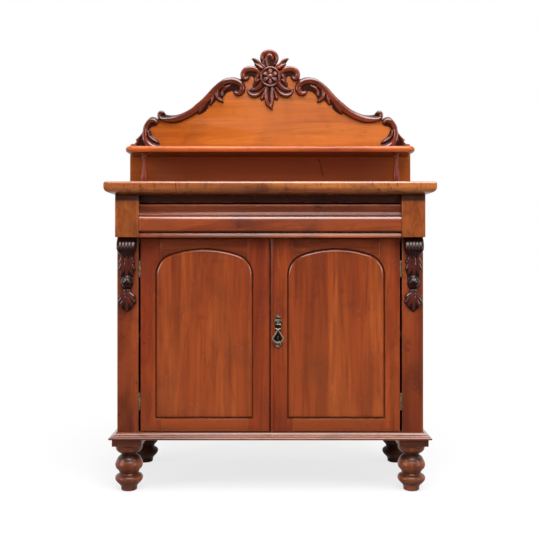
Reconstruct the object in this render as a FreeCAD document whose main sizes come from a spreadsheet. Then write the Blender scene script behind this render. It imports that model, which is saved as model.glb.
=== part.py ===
"""Victorian chiffonier: a two-door cupboard with a cushion drawer and a carved gallery.

Millimetres.  X runs from left to right, the front faces -Y and Z points up.
The origin is on the floor, in the middle of the outline seen from above.
"""

import FreeCAD, Part
import os
from math import sqrt

import Sketcher

Vector = FreeCAD.Vector
doc = FreeCAD.newDocument("chiffonier")


# --- Driving sizes ----------------------------------------------------------

DRIVING_SIZES = (
    # the top board and the case under it
    ("top_width", 1000, "top board, side to side"),
    ("top_depth", 455, "top board, front edge to back edge"),
    ("top_height", 950, "floor to the top board's upper face"),
    ("top_thickness", 38, "two boards glued face to face"),
    ("top_upper_round", 5, "round on the upper arris of the top"),
    ("top_lower_round", 20, "thumb mould on the lower arris of the top"),
    ("top_back_overhang", 6, "top board beyond the back boards"),
    ("top_side_overhang", 30, "top board beyond the end panels"),
    ("end_thickness", 20, "end panels"),
    ("back_thickness", 12, "back boards"),
    ("back_board_count", 5, "boards side by side in the back"),
    ("tongue_length", 5, "tongues between the back boards"),
    ("bottom_thickness", 21, "floor of the cupboard"),
    ("pilaster_width", 64.5, "front stiles of the case"),
    ("pilaster_thickness", 20, "front stiles of the case"),
    ("pilaster_setback", 64, "top's front edge to the pilaster's face"),
    ("frieze_height", 129, "blocks at the ends of the drawer"),
    ("frieze_block_width", 71, "blocks at the ends of the drawer"),
    ("frieze_setback", 30, "top's front edge to the face of the blocks"),
    ("top_rail_height", 23, "dark rail over the drawer"),
    ("top_rail_setback", 46, "top's front edge to the rail's face"),
    ("rail_depth", 62, "front rails, front to back"),
    ("drawer_rail_height", 16, "rail under the drawer"),
    ("door_stop_height", 16, "lip of the drawer rail that stops the doors"),
    ("door_stop_depth", 24, "lip of the drawer rail that stops the doors"),
    ("seat_clearance", 0.3, "between a moving piece and what it seats on"),
    ("cutter_overrun", 1, "how far a saw or drill passes the wood it cuts"),
    # the cupboard shelf
    ("shelf_height", 285, "cupboard floor to the underside of the cupboard shelf"),
    ("shelf_thickness", 16, "cupboard shelf"),
    ("shelf_setback", 40, "doors' back to the shelf's front edge"),
    ("bearer_width", 18, "battens under the cupboard shelf"),
    ("bearer_height", 25, "battens under the cupboard shelf"),
    # the base
    ("foot_height", 143, "turned feet, floor to block"),
    ("foot_block_width", 90, "square blocks on the feet"),
    ("foot_block_thickness", 21, "square blocks on the feet"),
    ("foot_block_overhang", 14, "blocks beyond the case, front and sides"),
    ("foot_spigot_radius", 12, "turned pin at the top of a foot"),
    ("foot_spigot_length", 15, "turned pin at the top of a foot"),
    ("spigot_clearance", 0.1, "round the pin, on the radius"),
    ("base_moulding_height", 21, "moulding round the foot of the case"),
    ("base_moulding_projection", 24, "moulding round the foot of the case"),
    ("base_bead", 7, "bead along the moulding's lower edge"),
    ("base_bead_round", 3.64, "radius of the bead"),
    ("base_quirk", 1, "step over the bead"),
    # the drawer
    ("drawer_side_gap", 1, "drawer front to the blocks beside it"),
    ("drawer_front_drop", 1.5, "drawer front below the top of the doors' opening"),
    ("drawer_front_height", 103.5, "cushion-moulded front"),
    ("drawer_front_back", 66, "top's front edge to the back of the drawer front"),
    ("drawer_front_depth", 38, "thickness of the front at the cushion"),
    ("drawer_box_inset", 5, "drawer side to the blocks' inner faces"),
    ("drawer_side_thickness", 12, "drawer sides and back"),
    ("drawer_side_height", 84, "drawer sides"),
    ("drawer_back_gap", 17, "back boards to the back of the drawer"),
    ("drawer_back_drop", 5, "drawer back below the top of the sides"),
    ("drawer_bottom_thickness", 6, "drawer bottom"),
    ("drawer_bottom_lift", 6, "drawer side below the drawer bottom"),
    ("drawer_groove", 6, "depth of the groove for the drawer bottom"),
    ("runner_width", 80, "runners under the drawer sides"),
    ("guide_height", 21, "upstand beside the drawer sides"),
    ("kicker_gap", 1, "drawer sides to the kickers over them"),
    # the doors
    ("door_setback", 66, "top's front edge to the doors' face"),
    ("door_thickness", 22, "stiles and rails of the doors"),
    ("door_face_layer", 7, "wood in front of the panel groove"),
    ("panel_groove_width", 7, "groove for the panel"),
    ("panel_groove_depth", 8, "groove for the panel"),
    ("door_hinge_gap", 7, "pilaster to the door's edge"),
    ("door_meeting_gap", 2.5, "between the two doors"),
    ("door_top_gap", 4, "doors below the drawer rail"),
    ("door_bottom_gap", 2, "doors above the floor of the cupboard"),
    ("hinge_stile_width", 62.8, "board on the hinge side of a door"),
    ("meeting_stile_width", 67.35, "board on the meeting side of a door"),
    ("hinge_stile_reveal", 44.5, "hinge edge of the door to the panel opening"),
    ("meeting_stile_reveal", 50.35, "meeting edge of the door to the panel opening"),
    ("door_bottom_rail_height", 38, "lower rail of a door"),
    ("arch_springing", 88, "door's top edge down to where the arch springs"),
    ("arch_rise", 56.5, "crown of the arch above its springing"),
    ("arch_shoulder_radius", 45, "small arcs at the ends of the arch"),
    ("panel_margin", 6, "channel between the frame and the raised field"),
    ("panel_proud", 1, "raised field in front of the door frame"),
    ("panel_bevel", 4, "bevel round the raised field"),
    ("astragal_width", 9.5, "bead on the right door's meeting edge"),
    ("astragal_depth", 4, "bead on the right door's meeting edge"),
    # the hinges
    ("hinge_length", 51, "brass butt hinges"),
    ("hinge_knuckle_radius", 3.2, "outside of the knuckles"),
    ("hinge_pin_radius", 1.5, "hinge pins"),
    ("hinge_pin_clearance", 0.05, "round the pin, on the radius"),
    ("hinge_leaf_thickness", 1.6, "hinge leaves"),
    ("hinge_leaf_width", 16, "leaf behind the knuckle"),
    ("hinge_knuckle_gap", 0.3, "between two knuckles"),
    ("upper_hinge_drop", 93, "door's top edge to the middle of the upper hinge"),
    ("lower_hinge_rise", 91, "door's bottom edge to the middle of the lower hinge"),
    # lock, escutcheon and drop handle
    ("escutcheon_offset", 24, "door's meeting line to the middle of the escutcheon"),
    ("escutcheon_drop", 67, "keyhole down to the escutcheon's lower tip"),
    ("escutcheon_length", 105, "escutcheon, tip to tip"),
    ("escutcheon_width", 25, "over the escutcheon's ears"),
    ("escutcheon_thickness", 2, "cast brass plate"),
    ("keyhole_radius", 2.6, "round part of the keyhole"),
    ("keyhole_rise", 25, "middle of the door's height up to the keyhole"),
    ("handle_pivot_drop", 9, "keyhole down to the pivot of the drop handle"),
    ("handle_pivot_standoff", 7, "plate's face to the pivot of the drop handle"),
    ("handle_pin_radius", 1.2, "pivot pin of the drop handle"),
    ("handle_pin_clearance", 0.05, "round the pin, on the radius"),
    ("handle_eye_radius", 3, "eye of the drop handle"),
    ("handle_eye_length", 5, "eye of the drop handle, along the pin"),
    ("handle_lug_thickness", 2.5, "lugs that carry the pin"),
    ("handle_width", 36, "pear-shaped ring, side to side"),
    ("handle_length", 42, "pivot to the bottom of the ring"),
    ("handle_bar", 5, "width of the ring's metal"),
    ("handle_shoulder_drop", 5.1, "pivot down to where the ring widens"),
    ("handle_window_drop", 6, "shoulders down to the top of the ring's opening"),
    ("handle_window_tip", 2, "width of the opening at its top"),
    ("handle_thickness", 4, "ring, front to back"),
    ("lock_width", 58, "lock case, side to side"),
    ("lock_height", 46, "lock case"),
    ("lock_depth", 11, "lock case, front to back"),
    ("lock_edge_inset", 3, "door's edge to the lock case"),
    ("lock_wall", 2, "brass walls of the lock case"),
    ("lock_bolt_height", 12, "sliding bolt of the lock"),
    ("lock_bolt_length", 42, "sliding bolt of the lock"),
    ("lock_bolt_clearance", 0.2, "round the sliding bolt"),
    # the two small bolts on the left door
    ("door_bolt_width", 8, "flat bolts"),
    ("door_bolt_thickness", 4, "flat bolts"),
    ("door_bolt_length", 72, "flat bolts"),
    ("door_bolt_clearance", 0.2, "round a bolt, in its straps and mortice"),
    ("door_bolt_tail", 10, "bolt beyond its back plate, at the tail"),
    ("door_bolt_inset", 26, "door's meeting edge to the middle of a bolt"),
    ("door_bolt_plate_width", 18, "back plates of the bolts"),
    ("door_bolt_plate_length", 48, "back plates of the bolts"),
    ("door_bolt_plate_thickness", 1.5, "back plates of the bolts"),
    ("door_bolt_end_gap", 1.8, "bolt's tip to the wood that it shoots into"),
    ("door_bolt_throw", 8, "travel of a bolt"),
    ("bolt_knob_width", 6, "square knob that a bolt is pushed by"),
    ("bolt_knob_reach", 7, "knob in front of the bolt"),
    ("strap_length", 8, "straps that hold a bolt on its plate"),
    ("strap_thickness", 1.5, "straps that hold a bolt on its plate"),
    ("mortice_clearance", 0.5, "round a bolt, in the wood and the keep"),
    ("mortice_spare_depth", 2, "mortice beyond the bolt's travel"),
    ("keep_thickness", 1, "brass keeps"),
    ("keep_width", 18, "brass keeps"),
    # the gallery
    ("gallery_thickness", 20, "back board of the gallery"),
    ("gallery_ear_height", 174, "top board to the ears of the back board"),
    ("gallery_ear_radius", 8, "round on the ears"),
    ("gallery_shelf_inset", 5, "top board's end to the narrow shelf's end"),
    ("gallery_shelf_depth", 130, "narrow shelf"),
    ("gallery_shelf_height", 149.5, "top board to the narrow shelf's upper face"),
    ("gallery_shelf_thickness", 22.5, "narrow shelf"),
    ("gallery_shelf_round", 10, "rounds of its bullnose edge"),
    ("gallery_shelf_corner", 25, "front corners, seen from above"),
    ("spindle_end_inset", 64, "narrow shelf's end to the middle of a spindle"),
    ("spindle_front_inset", 28, "narrow shelf's front edge to the middle of a spindle"),
    ("spindle_radius", 11.4, "at the belly of the vase"),
    # the carved crest
    ("crest_thickness", 15, "carving in front of the back board"),
    ("crest_leaf_thickness", 9, "lower parts of the carving"),
    ("scroll_end_inset", 97, "back board's end to the outer end of an S-scroll"),
    ("scroll_tuck_width", 17, "S-scroll's volute tucked under the cartouche's side scroll"),
    ("scroll_base_height", 98, "narrow shelf to the lowest point of an S-scroll"),
    ("scroll_height", 162, "lowest to highest point of an S-scroll"),
    ("bracket_end_inset", 12, "back board's end to the outside of a bracket scroll"),
    ("bracket_width", 96, "bracket scroll"),
    ("bracket_height", 119, "narrow shelf to the top of a bracket scroll"),
    ("cartouche_width", 210, "central carving"),
    ("cartouche_height", 218, "central carving"),
    ("cartouche_thickness", 10, "central carving"),
    ("crest_height", 360.5, "narrow shelf to the top of the central carving"),
    ("rosette_radius", 34, "ring round the rosette"),
    ("rosette_rim_width", 6, "ring round the rosette"),
    ("rosette_thickness", 7, "ring round the rosette"),
    ("rosette_floor_thickness", 3, "ground of the petals"),
    ("rosette_height", 120, "bottom of the central carving to the rosette's middle"),
    ("petal_width", 18, "petals of the rosette"),
    ("petal_count", 8, "petals of the rosette"),
    # the corbels
    ("corbel_height", 230, "frieze block to the tip of a corbel"),
    ("corbel_width", 58, "at the volute"),
    ("corbel_projection", 33, "volute in front of the pilaster"),
    ("corbel_knob_radius", 19, "rosette knob"),
    ("corbel_knob_drop", 139, "frieze block to the middle of the knob"),
    ("corbel_knob_projection", 22, "knob in front of the pilaster"),
)

sheet = doc.addObject("Spreadsheet::Sheet", "sizes")
for row, (alias, number, note) in enumerate(DRIVING_SIZES, start=1):
    sheet.set(f"A{row}", alias)
    sheet.set(f"B{row}", str(number))
    sheet.setAlias(f"B{row}", alias)
    sheet.set(f"C{row}", note)
doc.recompute()


TOUCH = 0.01  # two faces this close are one


class Length:
    """A length worked out from the sheet: its number, and the expression that gives it."""

    def __init__(self, number, text):
        self.number = number
        self.text = text

    def joined(self, sign, other, number):
        return Length(number, f"({self.text} {sign} {length(other).text})")

    def __add__(self, other):
        return self.joined("+", other, self.number + length(other).number)

    def __sub__(self, other):
        return self.joined("-", other, self.number - length(other).number)

    def __mul__(self, other):
        return self.joined("*", other, self.number * length(other).number)

    def __truediv__(self, other):
        return self.joined("/", other, self.number / length(other).number)

    def __neg__(self):
        return Length(-self.number, f"(-{self.text})")

    def __radd__(self, other):
        return length(other) + self

    def __rsub__(self, other):
        return length(other) - self

    def __rmul__(self, other):
        return length(other) * self


def length(value):
    """A plain number as a Length; a Length as it is."""
    if isinstance(value, Length):
        return value
    return Length(float(value), f"({float(value)!r})")


def root(value):
    return Length(sqrt(value.number), f"sqrt({value.text})")


class Sizes:
    """The sheet's cells by name, such as size.top_width."""

    def __getattr__(self, alias):
        return Length(float(sheet.get(alias)), f"sizes.{alias}")


size = Sizes()


# --- Ways of making a piece -------------------------------------------------

pieces = []


def piece(shape_object, node):
    """Name an object as a finished piece, which gets a file of its own."""
    shape_object.Label = node
    pieces.append(shape_object)
    return shape_object


def bind(thing, path, value):
    thing.setExpression(path, length(value).text)


def place(thing, x=0, y=0, z=0):
    for axis, value in (("x", x), ("y", y), ("z", z)):
        bind(thing, f"Placement.Base.{axis}", value)


def board(name, low, high):
    """A plain board between two opposite corners."""
    box = doc.addObject("Part::Box", name)
    for path, low_value, high_value in zip(("Length", "Width", "Height"), low, high):
        bind(box, path, length(high_value) - low_value)
    place(box, *low)
    return box


def rod(name, radius, start, axis, reach):
    """A round bar from a point, along X, Y or Z."""
    bar = doc.addObject("Part::Cylinder", name)
    bind(bar, "Radius", radius)
    bind(bar, "Height", reach)
    turns = {"x": (Vector(0, 1, 0), 90), "y": (Vector(1, 0, 0), -90), "z": (Vector(0, 0, 1), 0)}
    bar.Placement = FreeCAD.Placement(Vector(), FreeCAD.Rotation(*turns[axis]))
    place(bar, *start)
    return bar


def cut(name, base, *tools):
    """A piece with other shapes taken out of it."""
    for number, tool in enumerate(tools, start=1):
        taken = doc.addObject("Part::Cut", f"{name}_cut_{number}")
        taken.Base = base
        taken.Tool = tool
        base = taken
    return base


def fused(name, *parts):
    whole = doc.addObject("Part::MultiFuse", f"{name}_whole")
    whole.Shapes = list(parts)
    return whole


def group(name, *members):
    """Several like solids that share one node."""
    bundle = doc.addObject("Part::Compound", f"{name}_group")
    bundle.Links = list(members)
    return bundle


def mirrored(source, normal=(1, 0, 0), base=(0, 0, 0)):
    """The same piece for the other side of the chiffonier."""
    image = doc.addObject("Part::Mirroring", f"{source.Name}_mirrored")
    image.Source = source
    image.Normal = Vector(*normal)
    for axis, value in zip("xyz", base):
        bind(image, f"Base.{axis}", value)
    return image


def draw(body, plane, corners, offset=0):
    """A closed sketch.  A corner is (across, up), or (across, up, radius) after an arc.

    A positive radius turns left on the way to its corner, a negative one right.
    """
    sketch = body.newObject("Sketcher::SketchObject", f"{body.Name}_sketch")
    origin_plane = [part for part in body.Origin.OriginFeatures if part.Role == plane][0]
    sketch.AttachmentSupport = [(origin_plane, "")]
    sketch.MapMode = "FlatFace"
    bind(sketch, "AttachmentOffset.Base.z", offset)
    corners = [[length(value) for value in corner] for corner in corners]
    starts, ends = [], []
    for index, corner in enumerate(corners):
        before = corners[index - 1]
        first = Vector(before[0].number, before[1].number, 0)
        last = Vector(corner[0].number, corner[1].number, 0)
        if len(corner) == 2:
            sketch.addGeometry(Part.LineSegment(first, last))
            start_point = 1
        else:
            radius = corner[2].number
            chord = last - first
            rise = abs(radius) - sqrt(radius ** 2 - chord.Length ** 2 / 4)
            outward = Vector(chord.y, -chord.x, 0).normalize() * (rise if radius > 0 else -rise)
            sketch.addGeometry(Part.Arc(first, (first + last) * 0.5 + outward, last))
            start_point = 1 if radius > 0 else 2
        starts.append(start_point)
        ends.append(3 - start_point)
    count = len(corners)
    for index, corner in enumerate(corners):
        following = (index + 1) % count
        sketch.addConstraint(
            Sketcher.Constraint("Coincident", index, ends[index], following, starts[following])
        )
        for kind, value in (("DistanceX", corner[0]), ("DistanceY", corner[1])):
            held = sketch.addConstraint(
                Sketcher.Constraint(kind, -1, 1, index, ends[index], value.number)
            )
            bind(sketch, f"Constraints[{held}]", value)
        if len(corner) == 3:
            radius = corner[2] if corner[2].number > 0 else -corner[2]
            held = sketch.addConstraint(Sketcher.Constraint("Radius", index, radius.number))
            bind(sketch, f"Constraints[{held}]", radius)
    return sketch


def pad(body, plane, corners, reach, offset=0):
    """Add a drawn outline to a body, thickened along the plane's normal."""
    feature = body.newObject("PartDesign::Pad", f"{body.Name}_pad")
    feature.Profile = draw(body, plane, corners, offset)
    bind(feature, "Length", reach)
    return feature


def front_view(name, corners, back, thickness):
    """A piece drawn as (x, z) from the front, from its back face forwards."""
    body = doc.addObject("PartDesign::Body", name)
    pad(body, "XZ_Plane", corners, thickness)
    place(body, 0, back, 0)
    return body


def plan_view(name, corners, bottom, height):
    """A piece drawn as (x, y) from above, from its lower face up."""
    body = doc.addObject("PartDesign::Body", name)
    pad(body, "XY_Plane", corners, height)
    place(body, 0, 0, bottom)
    return body


def end_view(name, corners, left, width):
    """A piece drawn as (y, z) from its right end, from its left end on."""
    body = doc.addObject("PartDesign::Body", name)
    pad(body, "YZ_Plane", corners, width)
    place(body, left, 0, 0)
    return body


def turned(name, profile):
    """A piece turned on a lathe, drawn as (radius, height) from the axis up and back."""
    body = doc.addObject("PartDesign::Body", name)
    sketch = draw(body, "XZ_Plane", profile)
    spin = body.newObject("PartDesign::Revolution", f"{name}_turning")
    spin.Profile = sketch
    spin.ReferenceAxis = (sketch, ["V_Axis"])
    spin.Angle = 360
    return body


def ease_edges(body, kind, amount, wanted):
    """Round or bevel every edge of a body that the test picks out."""
    doc.recompute()
    base = body.Tip
    names = [f"Edge{number}" for number, edge in enumerate(base.Shape.Edges, start=1) if wanted(edge)]
    eased = body.newObject(f"PartDesign::{kind}", f"{body.Name}_{kind.lower()}")
    eased.Base = (base, names)
    bind(eased, "Radius" if kind == "Fillet" else "Size", amount)
    return eased


def lies_at_level(edge, level):
    """Whether an edge of a flat body runs at one height, over its lower face."""
    box = edge.BoundBox
    return abs(box.ZMin - level.number) < TOUCH and abs(box.ZMax - level.number) < TOUCH


def rectangle(low, high):
    return [(low[0], low[1]), (high[0], low[1]), (high[0], high[1]), (low[0], high[1])]


def both_sides(half):
    """A symmetrical outline from its right half, drawn upwards.

    A first or last corner on the middle line stays one corner.
    """
    half = [tuple(length(value) for value in corner) for corner in half]
    outline = list(half)
    for index in range(len(half) - 1, -1, -1):
        x, z = half[index][:2]
        arrives_by = half[index + 1][2:] if index + 1 < len(half) else ()
        if x.number:
            outline.append((-x, z, *arrives_by))
        elif index == 0:
            outline[0] = (x, z, *arrives_by)
    return outline


def carved_face(runs, to_place):
    """A flat face whose edge is sweeps that meet in points, as a carver cuts a leaf.

    Each sweep is a chain of arcs, and every second point is the end of an arc.
    """
    edges = []
    for run in runs:
        points = [Vector(*to_place(*point)) for point in run]
        while len(points) > 2:
            edges.append(Part.Arc(*points[:3]).toShape())
            points = points[2:]
        if len(points) == 2:
            edges.append(Part.LineSegment(*points).toShape())
    return Part.Face(Part.Wire(edges))


def carving(node, levels, back):
    """A piece of carved work, glued to a flat ground: each level is (face, height)."""
    solids = [face.extrude(Vector(0, -height, 0)) for face, height in levels]
    shape = solids[0]
    for solid in solids[1:]:
        shape = shape.fuse(solid)
    carved = doc.addObject("Part::Feature", node)
    carved.Shape = shape.removeSplitter()
    carved.Placement = FreeCAD.Placement(Vector(0, back, 0), FreeCAD.Rotation())
    return carved


# --- Places that several pieces share ---------------------------------------

front_edge = -size.top_depth / 2
back_edge = size.top_depth / 2
top_half = size.top_width / 2
case_half = top_half - size.top_side_overhang
inner_half = case_half - size.end_thickness
case_back = back_edge - size.top_back_overhang
back_face = case_back - size.back_thickness
case_bottom = size.foot_height + size.foot_block_thickness
cupboard_floor = case_bottom + size.bottom_thickness
top_underside = size.top_height - size.top_thickness
frieze_bottom = top_underside - size.frieze_height
frieze_front = front_edge + size.frieze_setback
frieze_inner = case_half - size.frieze_block_width
pilaster_front = front_edge + size.pilaster_setback
pilaster_back = pilaster_front + size.pilaster_thickness
pilaster_inner = case_half - size.pilaster_width
gallery_face = back_edge - size.gallery_thickness
shelf_top = size.top_height + size.gallery_shelf_height
shelf_underside = shelf_top - size.gallery_shelf_thickness


# --- Top board --------------------------------------------------------------

top_board = plan_view(
    "top_board",
    rectangle((-top_half, front_edge), (top_half, back_edge)),
    top_underside,
    size.top_thickness,
)
for level, radius in ((size.top_thickness, size.top_upper_round), (length(0), size.top_lower_round)):
    ease_edges(
        top_board,
        "Fillet",
        radius,
        lambda edge: lies_at_level(edge, level) and edge.BoundBox.YMin < back_edge.number - TOUCH,
    )
piece(top_board, "top_board")


# --- Case -------------------------------------------------------------------

left_end = board(
    "end_panel", (-case_half, pilaster_back, case_bottom), (-inner_half, case_back, top_underside)
)
piece(left_end, "left_end_panel")
piece(mirrored(left_end), "right_end_panel")

left_pilaster = board(
    "pilaster", (-case_half, pilaster_front, case_bottom), (-pilaster_inner, pilaster_back, frieze_bottom)
)
piece(left_pilaster, "left_pilaster")
piece(mirrored(left_pilaster), "right_pilaster")

frieze_block = board(
    "frieze_block", (-case_half, frieze_front, frieze_bottom), (-frieze_inner, pilaster_back, top_underside)
)
piece(group("frieze_blocks", frieze_block, mirrored(frieze_block)), "frieze_blocks")


rail_back_edge = pilaster_back + size.rail_depth - size.pilaster_thickness


def rail_plan(front):
    """Outline of a front rail that passes between the blocks and reaches the end panels."""
    return both_sides([
        (frieze_inner, front),
        (frieze_inner, pilaster_back),
        (inner_half, pilaster_back),
        (inner_half, rail_back_edge),
    ])


top_rail_bottom = top_underside - size.top_rail_height
top_front_rail = plan_view(
    "top_front_rail", rail_plan(front_edge + size.top_rail_setback), top_rail_bottom, size.top_rail_height
)
piece(top_front_rail, "top_front_rail")

door_front = front_edge + size.door_setback
door_back = door_front + size.door_thickness
door_top = frieze_bottom - size.door_top_gap
door_bottom = cupboard_floor + size.door_bottom_gap
stop_front = door_back + size.seat_clearance
stop_back = stop_front + size.door_stop_depth
stop_bottom = frieze_bottom - size.door_stop_height
bolt_centre = size.door_meeting_gap / 2 + size.door_bolt_inset
bolt_face = door_back + size.door_bolt_plate_thickness + size.door_bolt_clearance
mortice_depth = size.door_bolt_throw + size.mortice_spare_depth


def round_bolt(name, clearance, bottom, top):
    """A bolt's own section with some room round it, between two heights."""
    reach = size.door_bolt_width / 2 + clearance
    return board(
        name,
        (-bolt_centre - reach, bolt_face - clearance, bottom),
        (reach - bolt_centre, bolt_face + size.door_bolt_thickness + clearance, top),
    )


drawer_rail_flat = plan_view(
    "drawer_rail_board",
    rail_plan(front_edge + size.drawer_front_back + size.seat_clearance),
    frieze_bottom,
    size.drawer_rail_height,
)
door_stop = board(
    "door_stop", (-inner_half, stop_front, stop_bottom), (inner_half, stop_back, frieze_bottom)
)
top_mortice = round_bolt("top_mortice", size.mortice_clearance, stop_bottom, stop_bottom + mortice_depth)
piece(cut("drawer_rail", fused("drawer_rail", drawer_rail_flat, door_stop), top_mortice), "drawer_rail")

cupboard_floor_board = plan_view(
    "cupboard_floor",
    both_sides([
        (pilaster_inner, pilaster_front),
        (pilaster_inner, pilaster_back),
        (inner_half, pilaster_back),
        (inner_half, back_face),
    ]),
    case_bottom,
    size.bottom_thickness,
)
bottom_mortice = round_bolt(
    "bottom_mortice", size.mortice_clearance, cupboard_floor - mortice_depth, cupboard_floor
)
piece(cut("bottom_board", cupboard_floor_board, bottom_mortice), "bottom_board")

# The back is upright boards, each with a tongue that sits in its neighbour's groove.
board_count = round(size.back_board_count.number)
board_width = inner_half * 2 / size.back_board_count
tongue_front = size.back_thickness / 3
tongue_back = size.back_thickness * 2 / 3
back_boards = []
for index in range(board_count):
    left = board_width * index - inner_half
    right = left + board_width
    outline = [(right, 0)]
    if index < board_count - 1:
        tip = right + size.tongue_length
        outline += [(right, tongue_front), (tip, tongue_front), (tip, tongue_back), (right, tongue_back)]
    outline += [(right, size.back_thickness), (left, size.back_thickness)]
    if index > 0:
        groove = left + size.tongue_length
        outline += [(left, tongue_back), (groove, tongue_back), (groove, tongue_front), (left, tongue_front)]
    outline += [(left, 0)]
    slat = plan_view(f"back_board_{index + 1}", outline, case_bottom, top_underside - case_bottom)
    place(slat, 0, back_face, case_bottom)
    back_boards.append(slat)
piece(group("back_boards", *back_boards), "back_boards")

shelf_front = door_back + size.shelf_setback
shelf_low = cupboard_floor + size.shelf_height
piece(
    board(
        "cupboard_shelf",
        (-inner_half, shelf_front, shelf_low),
        (inner_half, back_face, shelf_low + size.shelf_thickness),
    ),
    "cupboard_shelf",
)
bearer = board(
    "shelf_bearer",
    (-inner_half, shelf_front, shelf_low - size.bearer_height),
    (size.bearer_width - inner_half, back_face, shelf_low),
)
piece(group("shelf_bearers", bearer, mirrored(bearer)), "shelf_bearers")


# --- Drawer runners and kickers ---------------------------------------------

runner_top = frieze_bottom + size.drawer_rail_height
drawer_outer = frieze_inner - size.drawer_box_inset
guide_inner = drawer_outer + size.seat_clearance
runner = front_view(
    "drawer_runner",
    [
        (-inner_half, frieze_bottom),
        (size.runner_width - inner_half, frieze_bottom),
        (size.runner_width - inner_half, runner_top),
        (-guide_inner, runner_top),
        (-guide_inner, runner_top + size.guide_height),
        (-inner_half, runner_top + size.guide_height),
    ],
    back_face,
    back_face - rail_back_edge,
)
piece(group("drawer_runners", runner, mirrored(runner)), "drawer_runners")

drawer_side_bottom = runner_top + size.seat_clearance
drawer_side_top = drawer_side_bottom + size.drawer_side_height
kicker = board(
    "drawer_kicker",
    (-inner_half, rail_back_edge, drawer_side_top + size.kicker_gap),
    (size.runner_width - inner_half, back_face, top_underside),
)
piece(group("drawer_kickers", kicker, mirrored(kicker)), "drawer_kickers")


# --- Drawer -----------------------------------------------------------------

drawer_front_bottom = frieze_bottom - size.drawer_front_drop
drawer_front_top = drawer_front_bottom + size.drawer_front_height
drawer_front_back = front_edge + size.drawer_front_back
drawer_half = frieze_inner - size.drawer_side_gap


def cushion(depth_share, height_share):
    """A point of the front's section, in shares of its depth and height."""
    return (
        drawer_front_back - size.drawer_front_depth * depth_share,
        drawer_front_bottom + size.drawer_front_height * height_share,
    )


def arc_to(point, radius_share):
    return (*point, size.drawer_front_height * radius_share)


# Bead, cove, big cushion, quirk and lower bead, from the top down.
drawer_section = [
    cushion(0, 0),
    cushion(0, 1),
    cushion(0.58, 1),
    arc_to(cushion(0.58, 0.93), 0.037),
    cushion(0.5, 0.92),
    arc_to(cushion(0.84, 0.7), -0.29),
    arc_to(cushion(0.74, 0.2), 0.45),
    cushion(0.5, 0.17),
    cushion(0.66, 0.14),
    arc_to(cushion(0.62, 0.02), 0.075),
    cushion(0.5, 0),
]
piece(end_view("drawer_front", drawer_section, -drawer_half, drawer_half * 2), "drawer_front")

drawer_bottom_low = drawer_side_bottom + size.drawer_bottom_lift
drawer_bottom_high = drawer_bottom_low + size.drawer_bottom_thickness
drawer_inner = drawer_outer - size.drawer_side_thickness
groove_bottom = drawer_inner + size.drawer_groove
drawer_box_back = back_face - size.drawer_back_gap
drawer_side = front_view(
    "drawer_side",
    [
        (-drawer_outer, drawer_side_bottom),
        (-drawer_inner, drawer_side_bottom),
        (-drawer_inner, drawer_bottom_low),
        (-groove_bottom, drawer_bottom_low),
        (-groove_bottom, drawer_bottom_high),
        (-drawer_inner, drawer_bottom_high),
        (-drawer_inner, drawer_side_top),
        (-drawer_outer, drawer_side_top),
    ],
    drawer_box_back,
    drawer_box_back - drawer_front_back,
)
piece(group("drawer_sides", drawer_side, mirrored(drawer_side)), "drawer_sides")
piece(
    board(
        "drawer_back",
        (-drawer_inner, drawer_box_back - size.drawer_side_thickness, drawer_bottom_high),
        (drawer_inner, drawer_box_back, drawer_side_top - size.drawer_back_drop),
    ),
    "drawer_back",
)
piece(
    board(
        "drawer_bottom",
        (-groove_bottom, drawer_front_back, drawer_bottom_low),
        (groove_bottom, drawer_box_back, drawer_bottom_high),
    ),
    "drawer_bottom",
)


# --- Doors ------------------------------------------------------------------

# The left door is drawn; the right one is its mirror image, except where they differ.
hinge_edge = -(pilaster_inner - size.door_hinge_gap)
meeting_edge = -size.door_meeting_gap / 2
opening_left = hinge_edge + size.hinge_stile_reveal
opening_right = meeting_edge - size.meeting_stile_reveal
opening_bottom = door_bottom + size.door_bottom_rail_height
springing = door_top - size.arch_springing
hinge_joint = hinge_edge + size.hinge_stile_width
meeting_joint = meeting_edge - size.meeting_stile_width
arch_centre = (opening_left + opening_right) / 2
arch_half = (opening_right - opening_left) / 2
shoulder = size.arch_shoulder_radius
shoulder_offset = arch_half - shoulder
# The long arc over the crown touches both shoulder arcs without a corner.
crown_radius = (
    shoulder_offset * shoulder_offset + size.arch_rise * size.arch_rise - shoulder * shoulder
) / (2 * (size.arch_rise - shoulder))
crown_drop = crown_radius - size.arch_rise
groove_front = door_front + size.door_face_layer
groove_back = groove_front + size.panel_groove_width
groove_left = opening_left - size.panel_groove_depth
groove_right = opening_right + size.panel_groove_depth


def arch_touch(grow):
    """Where the crown arc meets a shoulder arc: how far from the middle, and how high."""
    share = (shoulder + grow) / (crown_radius - shoulder)
    return shoulder_offset + shoulder_offset * share, springing + crown_drop * share


def arch_height_at(distance, grow):
    """Height of a shoulder arc at a distance from the arch's middle line."""
    across = length(distance) - shoulder_offset
    radius = shoulder + grow
    return springing + root(radius * radius - across * across)


def arched_outline(grow):
    """The panel opening, made larger all round by an amount, or smaller if it is negative."""
    across, up = arch_touch(length(grow))
    small, large = shoulder + grow, crown_radius + grow
    left, right = opening_left - grow, opening_right + grow
    bottom = opening_bottom - grow
    return [
        (left, bottom),
        (right, bottom),
        (right, springing),
        (arch_centre + across, up, small),
        (arch_centre - across, up, large),
        (left, springing, small),
    ]


def layered(name, face_outline, core_outline):
    """A door member: face and back alike, and a core that makes the groove or the tenon."""
    body = doc.addObject("PartDesign::Body", name)
    back_layer = door_back - groove_back
    pad(body, "XZ_Plane", face_outline, back_layer)
    pad(body, "XZ_Plane", core_outline, size.panel_groove_width, back_layer)
    pad(body, "XZ_Plane", face_outline, size.door_face_layer, door_back - groove_front)
    place(body, 0, door_back, 0)
    return body


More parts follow.
